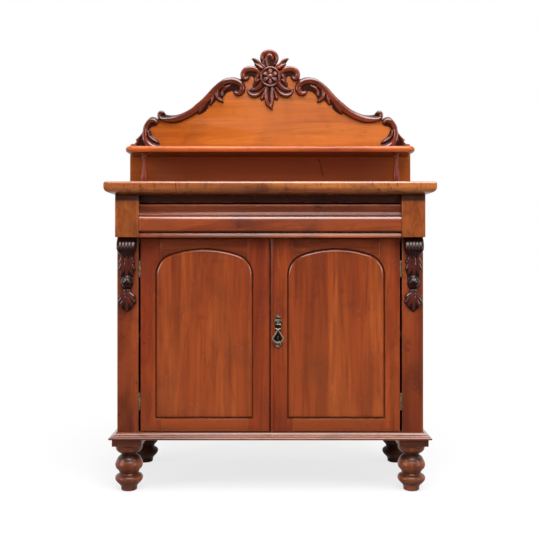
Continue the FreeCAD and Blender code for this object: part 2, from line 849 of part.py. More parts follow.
hinge_notch = arch_height_at(arch_centre - hinge_joint, length(0))
hinge_stile = layered(
    "door_hinge_stile",
    [
        (hinge_edge, door_bottom),
        (hinge_joint, door_bottom),
        (hinge_joint, opening_bottom),
        (opening_left, opening_bottom),
        (opening_left, springing),
        (hinge_joint, hinge_notch, -shoulder),
        (hinge_joint, door_top),
        (hinge_edge, door_top),
    ],
    rectangle((hinge_edge, door_bottom), (groove_left, door_top)),
)
piece(hinge_stile, "left_door_hinge_stile")
piece(mirrored(hinge_stile), "right_door_hinge_stile")

meeting_notch = arch_height_at(meeting_joint - arch_centre, length(0))
meeting_stile = layered(
    "door_meeting_stile",
    [
        (meeting_edge, door_top),
        (meeting_joint, door_top),
        (meeting_joint, meeting_notch),
        (opening_right, springing, -shoulder),
        (opening_right, opening_bottom),
        (meeting_joint, opening_bottom),
        (meeting_joint, door_bottom),
        (meeting_edge, door_bottom),
    ],
    rectangle((groove_right, door_bottom), (meeting_edge, door_top)),
)
piece(meeting_stile, "left_door_meeting_stile")
keyhole_z = (door_bottom + door_top) / 2 + size.keyhole_rise
keyhole = rod(
    "keyhole_in_stile",
    size.keyhole_radius,
    (size.escutcheon_offset, door_front, keyhole_z),
    "y",
    size.door_thickness,
)
piece(cut("right_meeting_stile", mirrored(meeting_stile), keyhole), "right_door_meeting_stile")

# The rails end in tenons that fill the stiles' grooves.
groove_depth = size.panel_groove_depth
core_across, core_up = arch_touch(groove_depth)
face_across, face_up = arch_touch(length(0))
hinge_core_notch = arch_height_at(arch_centre - hinge_joint, groove_depth)
meeting_core_notch = arch_height_at(meeting_joint - arch_centre, groove_depth)
top_rail = layered(
    "door_top_rail",
    [
        (hinge_joint, door_top),
        (hinge_joint, hinge_notch),
        (arch_centre - face_across, face_up, -shoulder),
        (arch_centre + face_across, face_up, -crown_radius),
        (meeting_joint, meeting_notch, -shoulder),
        (meeting_joint, door_top),
    ],
    [
        (groove_left, door_top),
        (groove_left, hinge_core_notch),
        (hinge_joint, hinge_core_notch),
        (arch_centre - core_across, core_up, -(shoulder + groove_depth)),
        (arch_centre + core_across, core_up, -(crown_radius + groove_depth)),
        (meeting_joint, meeting_core_notch, -(shoulder + groove_depth)),
        (groove_right, meeting_core_notch),
        (groove_right, door_top),
    ],
)
piece(top_rail, "left_door_top_rail")
piece(mirrored(top_rail), "right_door_top_rail")

bottom_rail = layered(
    "door_bottom_rail",
    rectangle((hinge_joint, door_bottom), (meeting_joint, opening_bottom)),
    rectangle((groove_left, door_bottom), (groove_right, opening_bottom - groove_depth)),
)
piece(bottom_rail, "left_door_bottom_rail")
piece(mirrored(bottom_rail), "right_door_bottom_rail")

# The panel floats in the grooves; its raised field stands inside the frame's edge.
tongue_thickness = size.panel_groove_width - size.seat_clearance * 2
field_height = size.door_face_layer + size.seat_clearance + size.panel_proud
panel = doc.addObject("PartDesign::Body", "door_panel")
pad(panel, "XZ_Plane", arched_outline(groove_depth - size.seat_clearance), tongue_thickness)
pad(panel, "XZ_Plane", arched_outline(-size.panel_margin), field_height, tongue_thickness)
panel_front = (tongue_thickness + field_height).number
ease_edges(panel, "Chamfer", size.panel_bevel, lambda edge: edge.BoundBox.YMax < TOUCH - panel_front)
place(panel, 0, groove_back - size.seat_clearance, 0)
piece(panel, "left_door_panel")
piece(mirrored(panel), "right_door_panel")

bead_left = size.door_meeting_gap / 2
bead_half = size.astragal_width / 2
bead_round = (bead_half * bead_half + size.astragal_depth * size.astragal_depth) / (2 * size.astragal_depth)
astragal = plan_view(
    "astragal",
    [(bead_left, door_front), (bead_left + size.astragal_width, door_front, bead_round)],
    door_bottom,
    door_top - door_bottom,
)
piece(astragal, "astragal_bead")


# --- Hinges -----------------------------------------------------------------

hinge_axis_x = -(pilaster_inner - size.door_hinge_gap / 2)
hinge_axis_y = door_front
knuckle_height = (size.hinge_length - size.hinge_knuckle_gap * 2) / 3
leaf_front = hinge_axis_y + size.hinge_knuckle_radius + size.hinge_knuckle_gap
leaf_back = leaf_front + size.hinge_leaf_width
pin_hole_radius = size.hinge_pin_radius + size.hinge_pin_clearance


def leaf(name, wood_face, plate_face, bottom, knuckle_places):
    """A hinge leaf standing on the wood's edge, with some of the three knuckles and their tabs."""
    low, high = sorted((wood_face, plate_face), key=lambda face: face.number)
    parts = [
        board(f"{name}_plate", (low, leaf_front, bottom), (high, leaf_back, bottom + size.hinge_length))
    ]
    for index in knuckle_places:
        level = bottom + (knuckle_height + size.hinge_knuckle_gap) * index
        axis = (hinge_axis_x, hinge_axis_y, level)
        parts.append(rod(f"{name}_knuckle_{index}", size.hinge_knuckle_radius, axis, "z", knuckle_height))
        tab_top = level + knuckle_height
        parts.append(board(f"{name}_tab_{index}", (low, hinge_axis_y, level), (high, leaf_front, tab_top)))
    return parts


case_leaves, door_leaves = [], []
upper_hinge_bottom = door_top - size.upper_hinge_drop - size.hinge_length / 2
lower_hinge_bottom = door_bottom + size.lower_hinge_rise - size.hinge_length / 2
for name, bottom in (("upper", upper_hinge_bottom), ("lower", lower_hinge_bottom)):
    axis_foot = (hinge_axis_x, hinge_axis_y, bottom)
    # The pin is tight in the two knuckles of the case's leaf, and the door's knuckle turns on it.
    pin = rod(f"{name}_hinge_pin", size.hinge_pin_radius, axis_foot, "z", size.hinge_length)
    case_side = leaf(
        f"{name}_case_leaf", -pilaster_inner, size.hinge_leaf_thickness - pilaster_inner, bottom, (0, 2)
    )
    case_leaf = fused(f"{name}_case_leaf", *case_side, pin)
    case_leaves += [case_leaf, mirrored(case_leaf)]
    door_side = leaf(
        f"{name}_door_leaf", hinge_edge, hinge_edge - size.hinge_leaf_thickness, bottom, (1,)
    )
    bore = rod(f"{name}_hinge_bore", pin_hole_radius, axis_foot, "z", size.hinge_length)
    door_leaves.append(cut(f"{name}_door_leaf", fused(f"{name}_door_leaf", *door_side), bore))
piece(group("case_hinge_leaves", *case_leaves), "case_hinge_leaves")
left_door_leaves = group("door_hinge_leaves", *door_leaves)
piece(left_door_leaves, "left_door_hinge_leaves")
piece(mirrored(left_door_leaves), "right_door_hinge_leaves")


# --- Escutcheon and drop handle ---------------------------------------------

plate_back = door_front.number
escutcheon_x = size.escutcheon_offset.number
escutcheon_low = (keyhole_z - size.escutcheon_drop).number


def on_escutcheon(across, up):
    """A point in hundredths of the plate's half width and of its length."""
    return (
        escutcheon_x + across / 100 * size.escutcheon_width.number / 2,
        0,
        escutcheon_low + up / 100 * size.escutcheon_length.number,
    )


def two_handed(right_runs):
    """Runs for the right half, from the bottom up, and their mirror images."""
    left_runs = [[(-x, z) for x, z in reversed(run)] for run in reversed(right_runs)]
    return right_runs + left_runs


escutcheon_runs = two_handed([
    [(0, 0), (38, 3), (52, 8), (30, 13)],
    [(30, 13), (62, 20), (72, 34), (58, 48), (52, 58)],
    [(52, 58), (78, 68), (72, 76)],
    [(72, 76), (100, 80), (92, 87), (42, 88)],
    [(42, 88), (62, 94), (0, 100)],
])
escutcheon_body = carving(
    "escutcheon_blank",
    [(carved_face(escutcheon_runs, on_escutcheon), size.escutcheon_thickness.number)],
    plate_back,
)
plate_front = door_front - size.escutcheon_thickness
pivot_y = plate_front - size.handle_pivot_standoff
pivot_z = keyhole_z - size.handle_pivot_drop
eye_half = size.handle_eye_length / 2
lug_inner = eye_half + size.seat_clearance
lug_outer = lug_inner + size.handle_lug_thickness
lugs = [
    board(
        f"handle_lug_{name}",
        (size.escutcheon_offset + low, pivot_y - size.handle_eye_radius, pivot_z - size.handle_eye_radius),
        (size.escutcheon_offset + high, plate_front, pivot_z + size.handle_eye_radius),
    )
    for name, low, high in (("left", -lug_outer, -lug_inner), ("right", lug_inner, lug_outer))
]
handle_pin = rod(
    "handle_pin",
    size.handle_pin_radius,
    (size.escutcheon_offset - lug_outer, pivot_y, pivot_z),
    "x",
    lug_outer * 2,
)
keyhole_in_plate = rod(
    "keyhole_in_plate",
    size.keyhole_radius,
    (size.escutcheon_offset, plate_front, keyhole_z),
    "y",
    size.escutcheon_thickness,
)
escutcheon = cut("escutcheon", fused("escutcheon", escutcheon_body, *lugs, handle_pin), keyhole_in_plate)
piece(escutcheon, "escutcheon_plate")

# The ring is a pear: straight sides that close on the eye, and a round bottom.
# Its arcs are a hair larger than a quarter turn needs, so that each one meets its ends.
HALF_ROUND = 1.001
ring_half = size.handle_width / 2
ring_bottom = pivot_z - size.handle_length
ring_round = ring_bottom + ring_half
ring_neck = pivot_z - size.handle_eye_radius / 2
ring_shoulder = pivot_z - size.handle_shoulder_drop
ring_blank = front_view(
    "handle_ring",
    both_sides([
        (0, ring_bottom),
        (ring_half, ring_round, ring_half * HALF_ROUND),
        (eye_half, ring_shoulder),
        (eye_half, ring_neck),
    ]),
    pivot_y + size.handle_thickness / 2,
    size.handle_thickness,
)
window_half = ring_half - size.handle_bar
window_top = ring_shoulder - size.handle_window_drop
ring_window = front_view(
    "handle_window",
    both_sides([
        (0, ring_round - window_half),
        (window_half, ring_round, window_half * HALF_ROUND),
        (size.handle_window_tip / 2, window_top),
    ]),
    pivot_y + size.handle_thickness / 2,
    size.handle_thickness,
)
for outline in (ring_blank, ring_window):
    bind(outline, "Placement.Base.x", size.escutcheon_offset)
eye = rod(
    "handle_eye",
    size.handle_eye_radius,
    (size.escutcheon_offset - eye_half, pivot_y, pivot_z),
    "x",
    size.handle_eye_length,
)
eye_bore = rod(
    "handle_eye_bore",
    size.handle_pin_radius + size.handle_pin_clearance,
    (size.escutcheon_offset - eye_half, pivot_y, pivot_z),
    "x",
    size.handle_eye_length,
)
drop_handle = cut("drop_handle", fused("drop_handle", cut("ring", ring_blank, ring_window), eye), eye_bore)
piece(drop_handle, "drop_handle")


# --- Lock -------------------------------------------------------------------

lock_left = size.door_meeting_gap / 2 + size.lock_edge_inset
lock_bottom = keyhole_z - size.lock_height / 2
bolt_low = keyhole_z - size.lock_bolt_height / 2
bolt_high = keyhole_z + size.lock_bolt_height / 2
bolt_front = door_back + size.lock_wall * 2
bolt_back = door_back + size.lock_depth - size.lock_wall - size.lock_bolt_clearance
lock_shell = board(
    "lock_shell",
    (lock_left, door_back, lock_bottom),
    (lock_left + size.lock_width, door_back + size.lock_depth, lock_bottom + size.lock_height),
)
slack = size.lock_bolt_clearance
bolt_way = board(
    "bolt_way",
    (lock_left, bolt_front - slack, bolt_low - slack),
    (lock_left + size.lock_bolt_length + slack, bolt_back + slack, bolt_high + slack),
)
piece(cut("lock_case", lock_shell, bolt_way), "lock_case")
lock_bolt_end = lock_left + size.lock_bolt_length
piece(
    board("lock_bolt", (lock_left, bolt_front, bolt_low), (lock_bolt_end, bolt_back, bolt_high)),
    "lock_bolt",
)


# --- Bolts of the left door -------------------------------------------------

def door_bolt(name, tip, towards):
    """A flat bolt with a knob, on a plate with two straps; towards is 1 for up, -1 for down."""
    tail = tip - size.door_bolt_length * towards
    middle = tail + (size.door_bolt_tail + size.door_bolt_plate_length / 2) * towards
    plate_low = middle - size.door_bolt_plate_length / 2
    plate_high = middle + size.door_bolt_plate_length / 2
    plate_half = size.door_bolt_plate_width / 2
    knob_half = size.bolt_knob_width / 2
    knob_back = bolt_face + size.door_bolt_thickness
    bottom, top = sorted((tail, tip), key=lambda level: level.number)
    shaft = round_bolt(f"{name}_shaft", length(0), bottom, top)
    knob = board(
        f"{name}_knob",
        (-bolt_centre - knob_half, knob_back, middle - knob_half),
        (knob_half - bolt_centre, knob_back + size.bolt_knob_reach, middle + knob_half),
    )
    back_plate = board(
        f"{name}_back_plate",
        (-bolt_centre - plate_half, door_back, plate_low),
        (plate_half - bolt_centre, door_back + size.door_bolt_plate_thickness, plate_high),
    )
    wall = size.door_bolt_clearance + size.strap_thickness
    straps = [
        round_bolt(f"{name}_{place_name}_strap", wall, level, level + size.strap_length)
        for place_name, level in (("lower", plate_low), ("upper", plate_high - size.strap_length))
    ]
    way = round_bolt(f"{name}_way", size.door_bolt_clearance, plate_low, plate_high)
    plate = cut(f"{name}_plate", fused(f"{name}_plate", back_plate, *straps), way)
    return fused(name, shaft, knob), plate


top_bolt, top_plate = door_bolt("top_bolt", stop_bottom - size.keep_thickness - size.door_bolt_end_gap, 1)
bottom_bolt, bottom_plate = door_bolt(
    "bottom_bolt", cupboard_floor + size.keep_thickness + size.door_bolt_end_gap, -1
)
piece(top_bolt, "top_bolt")
piece(bottom_bolt, "bottom_bolt")
piece(group("bolt_plates", top_plate, bottom_plate), "bolt_plates")


def keep(name, bottom):
    """A thin plate with a slot for the bolt, flush with the front of the wood behind the doors."""
    plate = board(
        f"{name}_blank",
        (-bolt_centre - size.keep_width / 2, stop_front, bottom),
        (size.keep_width / 2 - bolt_centre, stop_front + size.keep_width, bottom + size.keep_thickness),
    )
    slot = round_bolt(f"{name}_slot", size.mortice_clearance, bottom, bottom + size.keep_thickness)
    return cut(name, plate, slot)


keeps = (keep("top_keep", stop_bottom - size.keep_thickness), keep("bottom_keep", cupboard_floor))
piece(group("bolt_keeps", *keeps), "bolt_keeps")


# --- Base moulding ----------------------------------------------------------

moulding = size.base_moulding_projection
moulding_top = case_bottom + size.base_moulding_height


def moulding_section(wall, outwards):
    """Bead, quirk and ogee, as (across, up), standing off a wall."""
    def point(projection, height, *radius):
        return (wall + projection * outwards, case_bottom + height, *radius)

    bead_start = moulding - size.base_bead / 2
    return [
        point(0, 0),
        point(bead_start, 0),
        point(bead_start, size.base_bead, size.base_bead_round * outwards),
        point(moulding * 0.72, size.base_bead + size.base_quirk),
        point(moulding * 0.42, size.base_moulding_height * 0.68, size.base_moulding_height * 0.9 * -outwards),
        point(moulding * 0.12, size.base_moulding_height * 0.92, size.base_moulding_height * 0.8 * outwards),
        point(moulding * 0.08, size.base_moulding_height),
        point(0, size.base_moulding_height),
    ]


far = moulding + size.cutter_overrun
wedge_low = case_bottom - size.cutter_overrun
wedge_height = size.base_moulding_height + size.cutter_overrun * 2
front_length = case_half + moulding
front_moulding = end_view(
    "front_moulding",
    moulding_section(pilaster_front, -1),
    -front_length,
    front_length * 2,
)


def mitre_wedge(name):
    """What the mitre at the left front corner takes off the front moulding."""
    corner_x, corner_y = -case_half, pilaster_front
    return plan_view(
        name,
        [
            (corner_x, corner_y),
            (corner_x - far, corner_y),
            (corner_x - far, corner_y - far),
        ],
        wedge_low,
        wedge_height,
    )


front_wedge = mitre_wedge("front_wedge")
piece(cut("base_moulding_front", front_moulding, front_wedge, mirrored(front_wedge)), "base_moulding_front")

side_moulding = front_view(
    "side_moulding",
    moulding_section(-case_half, -1),
    case_back,
    case_back - pilaster_front + moulding,
)
side_wedge = plan_view(
    "side_wedge",
    [
        (-case_half, pilaster_front),
        (-case_half - far, pilaster_front - far),
        (-case_half, pilaster_front - far),
    ],
    wedge_low,
    wedge_height,
)
return_moulding = cut("return_moulding", side_moulding, side_wedge)
piece(group("base_moulding_returns", return_moulding, mirrored(return_moulding)), "base_moulding_returns")


# --- Feet -------------------------------------------------------------------

block_half = size.foot_block_width / 2
foot_x = case_half + size.foot_block_overhang - block_half
front_foot_y = pilaster_front - size.foot_block_overhang + block_half
rear_foot_y = back_edge - block_half
spigot_bore = size.foot_spigot_radius + size.spigot_clearance
socket_depth = size.foot_spigot_length + size.cutter_overrun
blocks = []
for name, middle in (("front", front_foot_y), ("rear", rear_foot_y)):
    blank = board(
        f"{name}_block_blank",
        (-foot_x - block_half, middle - block_half, size.foot_height),
        (block_half - foot_x, middle + block_half, case_bottom),
    )
    socket = rod(f"{name}_socket", spigot_bore, (-foot_x, middle, size.foot_height), "z", socket_depth)
    block = cut(f"{name}_block", blank, socket)
    blocks += [block, mirrored(block)]
piece(group("foot_blocks", *blocks), "foot_blocks")


def foot_point(radius_share, height_share):
    """A point of the foot's turning, in shares of half the block and of the foot's height."""
    return block_half * radius_share, size.foot_height * height_share


# From the floor up: toe, bun, neck, big bun, ogee and collar.
foot_profile = [
    (0, 0),
    foot_point(0.51, 0),
    foot_point(0.56, 0.06),
    foot_point(0.95, 0.26),
    foot_point(0.64, 0.385),
    foot_point(0.94, 0.49),
    foot_point(0.94, 0.61),
    foot_point(0.49, 0.78),
    foot_point(0.93, 0.9),
    foot_point(0.88, 1),
    (size.foot_spigot_radius, size.foot_height),
    (size.foot_spigot_radius, size.foot_height + size.foot_spigot_length),
    (0, size.foot_height + size.foot_spigot_length),
]
for name, middle in (("front", front_foot_y), ("rear", rear_foot_y)):
    foot = turned(f"{name}_foot", foot_profile)
    place(foot, -foot_x, middle, 0)
    piece(group(f"{name}_feet", foot, mirrored(foot)), f"{name}_feet")


# --- Gallery ----------------------------------------------------------------

gallery_shelf_half = top_half - size.gallery_shelf_inset
corner = size.gallery_shelf_corner
shelf_front_edge = gallery_face - size.gallery_shelf_depth
gallery_shelf = plan_view(
    "gallery_shelf",
    [
        (-gallery_shelf_half, gallery_face),
        (-gallery_shelf_half, shelf_front_edge + corner),
        (corner - gallery_shelf_half, shelf_front_edge, corner),
        (gallery_shelf_half - corner, shelf_front_edge),
        (gallery_shelf_half, shelf_front_edge + corner, corner),
        (gallery_shelf_half, gallery_face),
    ],
    shelf_underside,
    size.gallery_shelf_thickness,
)
for level in (size.gallery_shelf_thickness, length(0)):
    ease_edges(
        gallery_shelf,
        "Fillet",
        size.gallery_shelf_round,
        lambda edge: lies_at_level(edge, level) and edge.BoundBox.YMin < gallery_face.number - TOUCH,
    )
piece(gallery_shelf, "gallery_shelf")

spindle_height = shelf_underside - size.top_height


def spindle_point(radius_share, height_share):
    return size.spindle_radius * radius_share, spindle_height * height_share


# A long vase between two sets of rings.
spindle = turned(
    "spindle",
    [
        (0, 0),
        spindle_point(0.95, 0),
        spindle_point(0.95, 0.07),
        spindle_point(0.55, 0.1),
        spindle_point(0.85, 0.14),
        spindle_point(0.5, 0.19),
        spindle_point(1, 0.33),
        spindle_point(0.42, 0.85),
        spindle_point(0.8, 0.9),
        spindle_point(0.45, 0.94),
        spindle_point(0.9, 1),
        (0, spindle_height),
    ],
)
spindle_x = gallery_shelf_half - size.spindle_end_inset
place(spindle, -spindle_x, shelf_front_edge + size.spindle_front_inset, size.top_height)
piece(group("gallery_spindles", spindle, mirrored(spindle)), "gallery_spindles")


scroll_outer = top_half - size.scroll_end_inset
scroll_span = scroll_outer - size.cartouche_width / 2 + size.scroll_tuck_width
bracket_outer = top_half - size.bracket_end_inset
cartouche_bottom = shelf_top + size.crest_height - size.cartouche_height


def on_scroll(across, up):
    """A point of the left S-scroll, in hundredths of its span and height from its outer foot."""
    return (
        scroll_span * (across / 100) - scroll_outer,
        shelf_top + size.scroll_base_height + size.scroll_height * (up / 100),
    )


def on_bracket(across, up):
    """A point of the left bracket scroll, in hundredths of its width and height."""
    return (
        size.bracket_width * (across / 100) - bracket_outer,
        shelf_top + size.bracket_height * (up / 100),
    )


def on_cartouche(across, up):
    """A point of the central carving, in hundredths of its width and height from its middle foot."""
    return (
        size.cartouche_width * (across / 100),
        cartouche_bottom + size.cartouche_height * (up / 100),
    )


# The board's upper edge runs behind the middle of the carvings.
ear_top = size.top_height + size.gallery_ear_height
ear = size.gallery_ear_radius
left_half_of_board = [
    (-top_half, size.top_height),
    (-top_half, ear_top - ear),
    (ear - top_half, ear_top, -ear),
    on_bracket(14, 21),
    on_bracket(42, 50),
    on_bracket(48, 70),
    on_bracket(66, 92),
    on_scroll(4, 11),
    on_scroll(14, 9),
    (*on_scroll(39, 26), size.scroll_height),
    on_scroll(62, 70),
    (*on_scroll(83, 93), -size.scroll_height * 0.5),
    on_cartouche(-44, 54),
    on_cartouche(-30, 68),
    on_cartouche(-12, 74),
]
right_half_of_board = []
for index in range(len(left_half_of_board) - 1, -1, -1):
    x, z = left_half_of_board[index][:2]
    arrives_by = left_half_of_board[index + 1][2:] if index + 1 < len(left_half_of_board) else ()
    right_half_of_board.append((-x, z, *arrives_by))
gallery_back = front_view(
    "gallery_back_board", left_half_of_board + right_half_of_board, back_edge, size.gallery_thickness
)
piece(gallery_back, "gallery_back_board")


# --- Carved crest -----------------------------------------------------------

def as_number_point(on_shape):
    """Turn a place on a carving into plain x, y, z numbers."""
    def to_place(across, up):
        x, z = on_shape(across, up)
        return x.number, 0, z.number

    return to_place


ground = gallery_face.number
high = size.crest_thickness.number
low = size.crest_leaf_thickness.number

# Outer curl, lower edge, leaf tips, volute and upper edge of the left S-scroll.
scroll_runs = [
    [(9, 22), (4, 27), (0, 17), (4, 5), (17, 0), (31, 7), (45, 22)],
    [(45, 22), (48, 19)],
    [(48, 19), (56, 29), (58, 40)],
    [(58, 40), (61, 39)],
    [(61, 39), (65, 46), (66, 51)],
    [(66, 51), (70, 45), (76, 45)],
    [(76, 45), (74, 53), (77, 63), (85, 71)],
    [(85, 71), (88, 62), (94, 60), (100, 70), (98, 88), (89, 100), (76, 97), (63, 78), (51, 53)],
    [(51, 53), (39, 33), (26, 21), (16, 18), (9, 22)],
]
rib_runs = [
    [(8, 17), (4, 20), (3, 14), (9, 8), (20, 8), (33, 15), (45, 31)],
    [(45, 31), (58, 53), (68, 75), (77, 88), (87, 90), (92, 84), (92, 76)],
    [(92, 76), (96, 76)],
    [(96, 76), (96, 87), (89, 95), (80, 94), (70, 83), (57, 60), (45, 39)],
    [(45, 39), (34, 23), (20, 15), (13, 14), (8, 17)],
]
place_on_scroll = as_number_point(on_scroll)
crest_scroll = carving(
    "crest_scroll",
    [(carved_face(scroll_runs, place_on_scroll), low), (carved_face(rib_runs, place_on_scroll), high)],
    ground,
)
piece(group("crest_scrolls", crest_scroll, mirrored(crest_scroll)), "crest_scrolls")

# The bracket scroll stands on the narrow shelf and curls over at its top.
bracket_runs = [
    [(0, 0), (11, 22)],
    [(11, 22), (8, 31)],
    [(8, 31), (22, 41), (34, 56), (38, 72), (46, 84), (58, 96), (72, 100), (88, 97), (94, 88),
     (91, 79), (82, 73), (68, 71), (62, 64), (67, 50), (80, 38), (94, 26), (99, 14)],
    [(99, 14), (90, 12)],
    [(90, 12), (98, 6), (97, 0)],
    [(97, 0), (0, 0)],
]
bracket = carving(
    "bracket_scroll", [(carved_face(bracket_runs, as_number_point(on_bracket)), low)], ground
)
piece(group("bracket_scrolls", bracket, mirrored(bracket)), "bracket_scrolls")

# Top curl, two leaves, two side scrolls, two lower leaves and a pendant.
cartouche_runs = [
    [(5, 0), (-4, 6), (-9, 13), (-13, 15)],
    [(-13, 15), (-17, 19), (-18, 24)],
    [(-18, 24), (-26, 21), (-36, 23), (-42, 31)],
    [(-42, 31), (-34, 30), (-24, 38)],
    [(-24, 38), (-30, 42), (-30, 48), (-34, 53)],
    [(-34, 53), (-38, 48), (-45, 47), (-51, 56), (-50, 65), (-43, 70), (-33, 71), (-26, 70)],
    [(-26, 70), (-29, 77), (-32, 82)],
    [(-32, 82), (-24, 83), (-16, 80), (-15, 86)],
    [(-15, 86), (-15, 94), (-7, 99), (2, 100), (11, 95), (14, 84), (9, 77)],
    [(9, 77), (18, 79), (26, 82), (34, 83)],
    [(34, 83), (30, 77), (26, 70)],
    [(26, 70), (33, 71), (43, 70), (50, 65), (51, 56), (45, 47), (38, 48), (34, 53)],
    [(34, 53), (30, 48), (30, 42), (24, 38)],
    [(24, 38), (34, 30), (42, 31)],
    [(42, 31), (36, 23), (26, 21), (18, 24)],
    [(18, 24), (15, 19), (12, 15)],
    [(12, 15), (8, 13), (4, 7), (5, 0)],
]
cartouche = carving(
    "cartouche",
    [(carved_face(cartouche_runs, as_number_point(on_cartouche)), size.cartouche_thickness.number)],
    ground,
)
piece(cartouche, "crest_cartouche")

# The rosette is a turned ring with a ring of petals inside it.
ring_outer = size.rosette_radius.number
ring_inner = (size.rosette_radius - size.rosette_rim_width).number
ring_top = size.rosette_thickness.number
ring_floor = size.rosette_floor_thickness.number
petal_half = size.petal_width.number / 2
petal_count = round(size.petal_count.number)
ring = Part.makeCylinder(ring_outer, ring_top)
ring = ring.cut(Part.makeCylinder(ring_inner, ring_top - ring_floor, Vector(0, 0, ring_floor)))


def petal(angle):
    """A pointed petal with a ridge along its middle, lying on the ring's floor."""
    heel = Vector(ring_inner * 0.14, 0, ring_floor)
    tip = Vector(ring_inner * 0.94, 0, ring_floor)
    left = Vector(ring_inner * 0.55, petal_half, ring_floor)
    right = Vector(ring_inner * 0.55, -petal_half, ring_floor)
    crest = Vector(ring_inner * 0.55, 0, ring_top)
    outlines = (
        (heel, right, tip, left),
        (heel, left, crest),
        (left, tip, crest),
        (tip, right, crest),
        (right, heel, crest),
    )
    faces = [Part.Face(Part.makePolygon([*outline, outline[0]])) for outline in outlines]
    solid = Part.Solid(Part.Shell(faces))
    solid.rotate(Vector(), Vector(0, 0, 1), angle)
    return solid


petals = [petal(360 * index / petal_count) for index in range(petal_count)]
rosette = doc.addObject("Part::Feature", "rosette")
rosette.Shape = ring.multiFuse(petals).removeSplitter()
rosette.Placement = FreeCAD.Placement(
    Vector(
        0,
        (gallery_face - size.cartouche_thickness).number,
        (cartouche_bottom + size.rosette_height).number,
    ),
    FreeCAD.Rotation(Vector(1, 0, 0), 90),
)
piece(rosette, "crest_rosette")


# --- Corbels ----------------------------------------------------------------

corbel_x = (case_half + pilaster_inner) / 2


def corbel_point(across_share, up_share, *arc_share):
    """Front view: shares of the corbel's half width and of its height, from the tip up."""
    return (
        size.corbel_width / 2 * across_share,
        frieze_bottom - size.corbel_height * (1 - up_share),
        *(size.corbel_height * share for share in arc_share),
    )


# Pointed palmette, waist at the knob, leaf tips and volute, from the tip up.
corbel_half = [
    corbel_point(0, 0),
    corbel_point(0.5, 0.12, 0.2),
    corbel_point(0.8, 0.2),
    corbel_point(0.62, 0.28, 0.1),
    corbel_point(0.42, 0.33),
    corbel_point(0.42, 0.45),
    corbel_point(0.74, 0.5),
    corbel_point(0.6, 0.6, -0.2),
    corbel_point(0.72, 0.76),
    corbel_point(1, 0.79),
    corbel_point(1, 1),
]
corbel_front = front_view(
    "corbel_front", both_sides(corbel_half), pilaster_front, size.corbel_projection
)
bind(corbel_front, "Placement.Base.x", -corbel_x)


def corbel_side_point(out_share, up_share, *arc_share):
    return (
        pilaster_front - size.corbel_projection * out_share,
        frieze_bottom - size.corbel_height * (1 - up_share),
        *(size.corbel_height * share for share in arc_share),
    )


# Side view: thin tip, hollow shaft and a scroll that rolls out under the block.
corbel_side = end_view(
    "corbel_side",
    [
        corbel_side_point(0, 1),
        corbel_side_point(0, 0),
        corbel_side_point(0.12, 0),
        corbel_side_point(0.34, 0.12, -0.3),
        corbel_side_point(0.3, 0.32, -0.3),
        corbel_side_point(0.3, 0.5),
        corbel_side_point(0.5, 0.74, 0.5),
        corbel_side_point(0.7, 0.79),
        corbel_side_point(1, 0.88, -0.09),
        corbel_side_point(0.86, 1, -0.12),
    ],
    -corbel_x - size.corbel_width,
    size.corbel_width * 2,
)
corbel_blank = doc.addObject("Part::Common", "corbel_blank")
corbel_blank.Base = corbel_front
corbel_blank.Tool = corbel_side
corbel_knob = turned(
    "corbel_knob",
    [
        (0, 0),
        (size.corbel_knob_radius, 0),
        (size.corbel_knob_radius, size.corbel_knob_projection * 0.5),
        (size.corbel_knob_radius * 0.86, size.corbel_knob_projection * 0.8),
        (size.corbel_knob_radius * 0.5, size.corbel_knob_projection),
        (0, size.corbel_knob_projection),
    ],
)
corbel_knob.Placement = FreeCAD.Placement(Vector(), FreeCAD.Rotation(Vector(1, 0, 0), 90))
place(corbel_knob, -corbel_x, pilaster_front, frieze_bottom - size.corbel_knob_drop)
corbel = fused("corbel", corbel_blank, corbel_knob)
piece(group("corbels", corbel, mirrored(corbel)), "corbels")


# --- Check and write --------------------------------------------------------

doc.recompute()
for thing in doc.Objects:
    if "Invalid" in thing.State or "Error" in thing.State:
        raise RuntimeError(f"{thing.Label} did not build: {thing.State}")
for part in pieces:
    if part.Shape.isNull() or not part.Shape.isValid():
        raise RuntimeError(f"{part.Label} is not a valid shape")
    if not part.Shape.Solids:
        raise RuntimeError(f"{part.Label} holds no solid")

os.makedirs("parts", exist_ok=True)
for part in pieces:
    part.Shape.exportStep(f"parts/{part.Label}.step")
print(len(pieces), "pieces written")
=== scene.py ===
import math

import bmesh
import bpy
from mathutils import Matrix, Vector
from mathutils.geometry import delaunay_2d_cdt
from mathutils.kdtree import KDTree


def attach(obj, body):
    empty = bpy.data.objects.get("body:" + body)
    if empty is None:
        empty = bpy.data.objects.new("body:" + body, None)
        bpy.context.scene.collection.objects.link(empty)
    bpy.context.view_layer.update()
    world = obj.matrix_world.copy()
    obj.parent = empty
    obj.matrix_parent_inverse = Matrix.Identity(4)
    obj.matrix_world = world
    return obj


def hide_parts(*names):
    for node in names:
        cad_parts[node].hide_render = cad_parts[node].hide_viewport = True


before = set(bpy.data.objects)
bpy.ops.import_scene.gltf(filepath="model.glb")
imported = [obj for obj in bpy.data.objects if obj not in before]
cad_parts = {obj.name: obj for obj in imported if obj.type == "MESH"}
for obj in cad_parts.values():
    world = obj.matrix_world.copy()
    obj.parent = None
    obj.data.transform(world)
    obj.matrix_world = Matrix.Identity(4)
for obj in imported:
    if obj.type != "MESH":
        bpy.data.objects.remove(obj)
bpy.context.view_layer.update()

MM = 0.001

# --- End panels, pilasters and frieze blocks
# Cedar boards, French polished to an orange brown: the two ends of the case, the
# flat pilasters glued to their front edges, and the blocks beside the drawer.


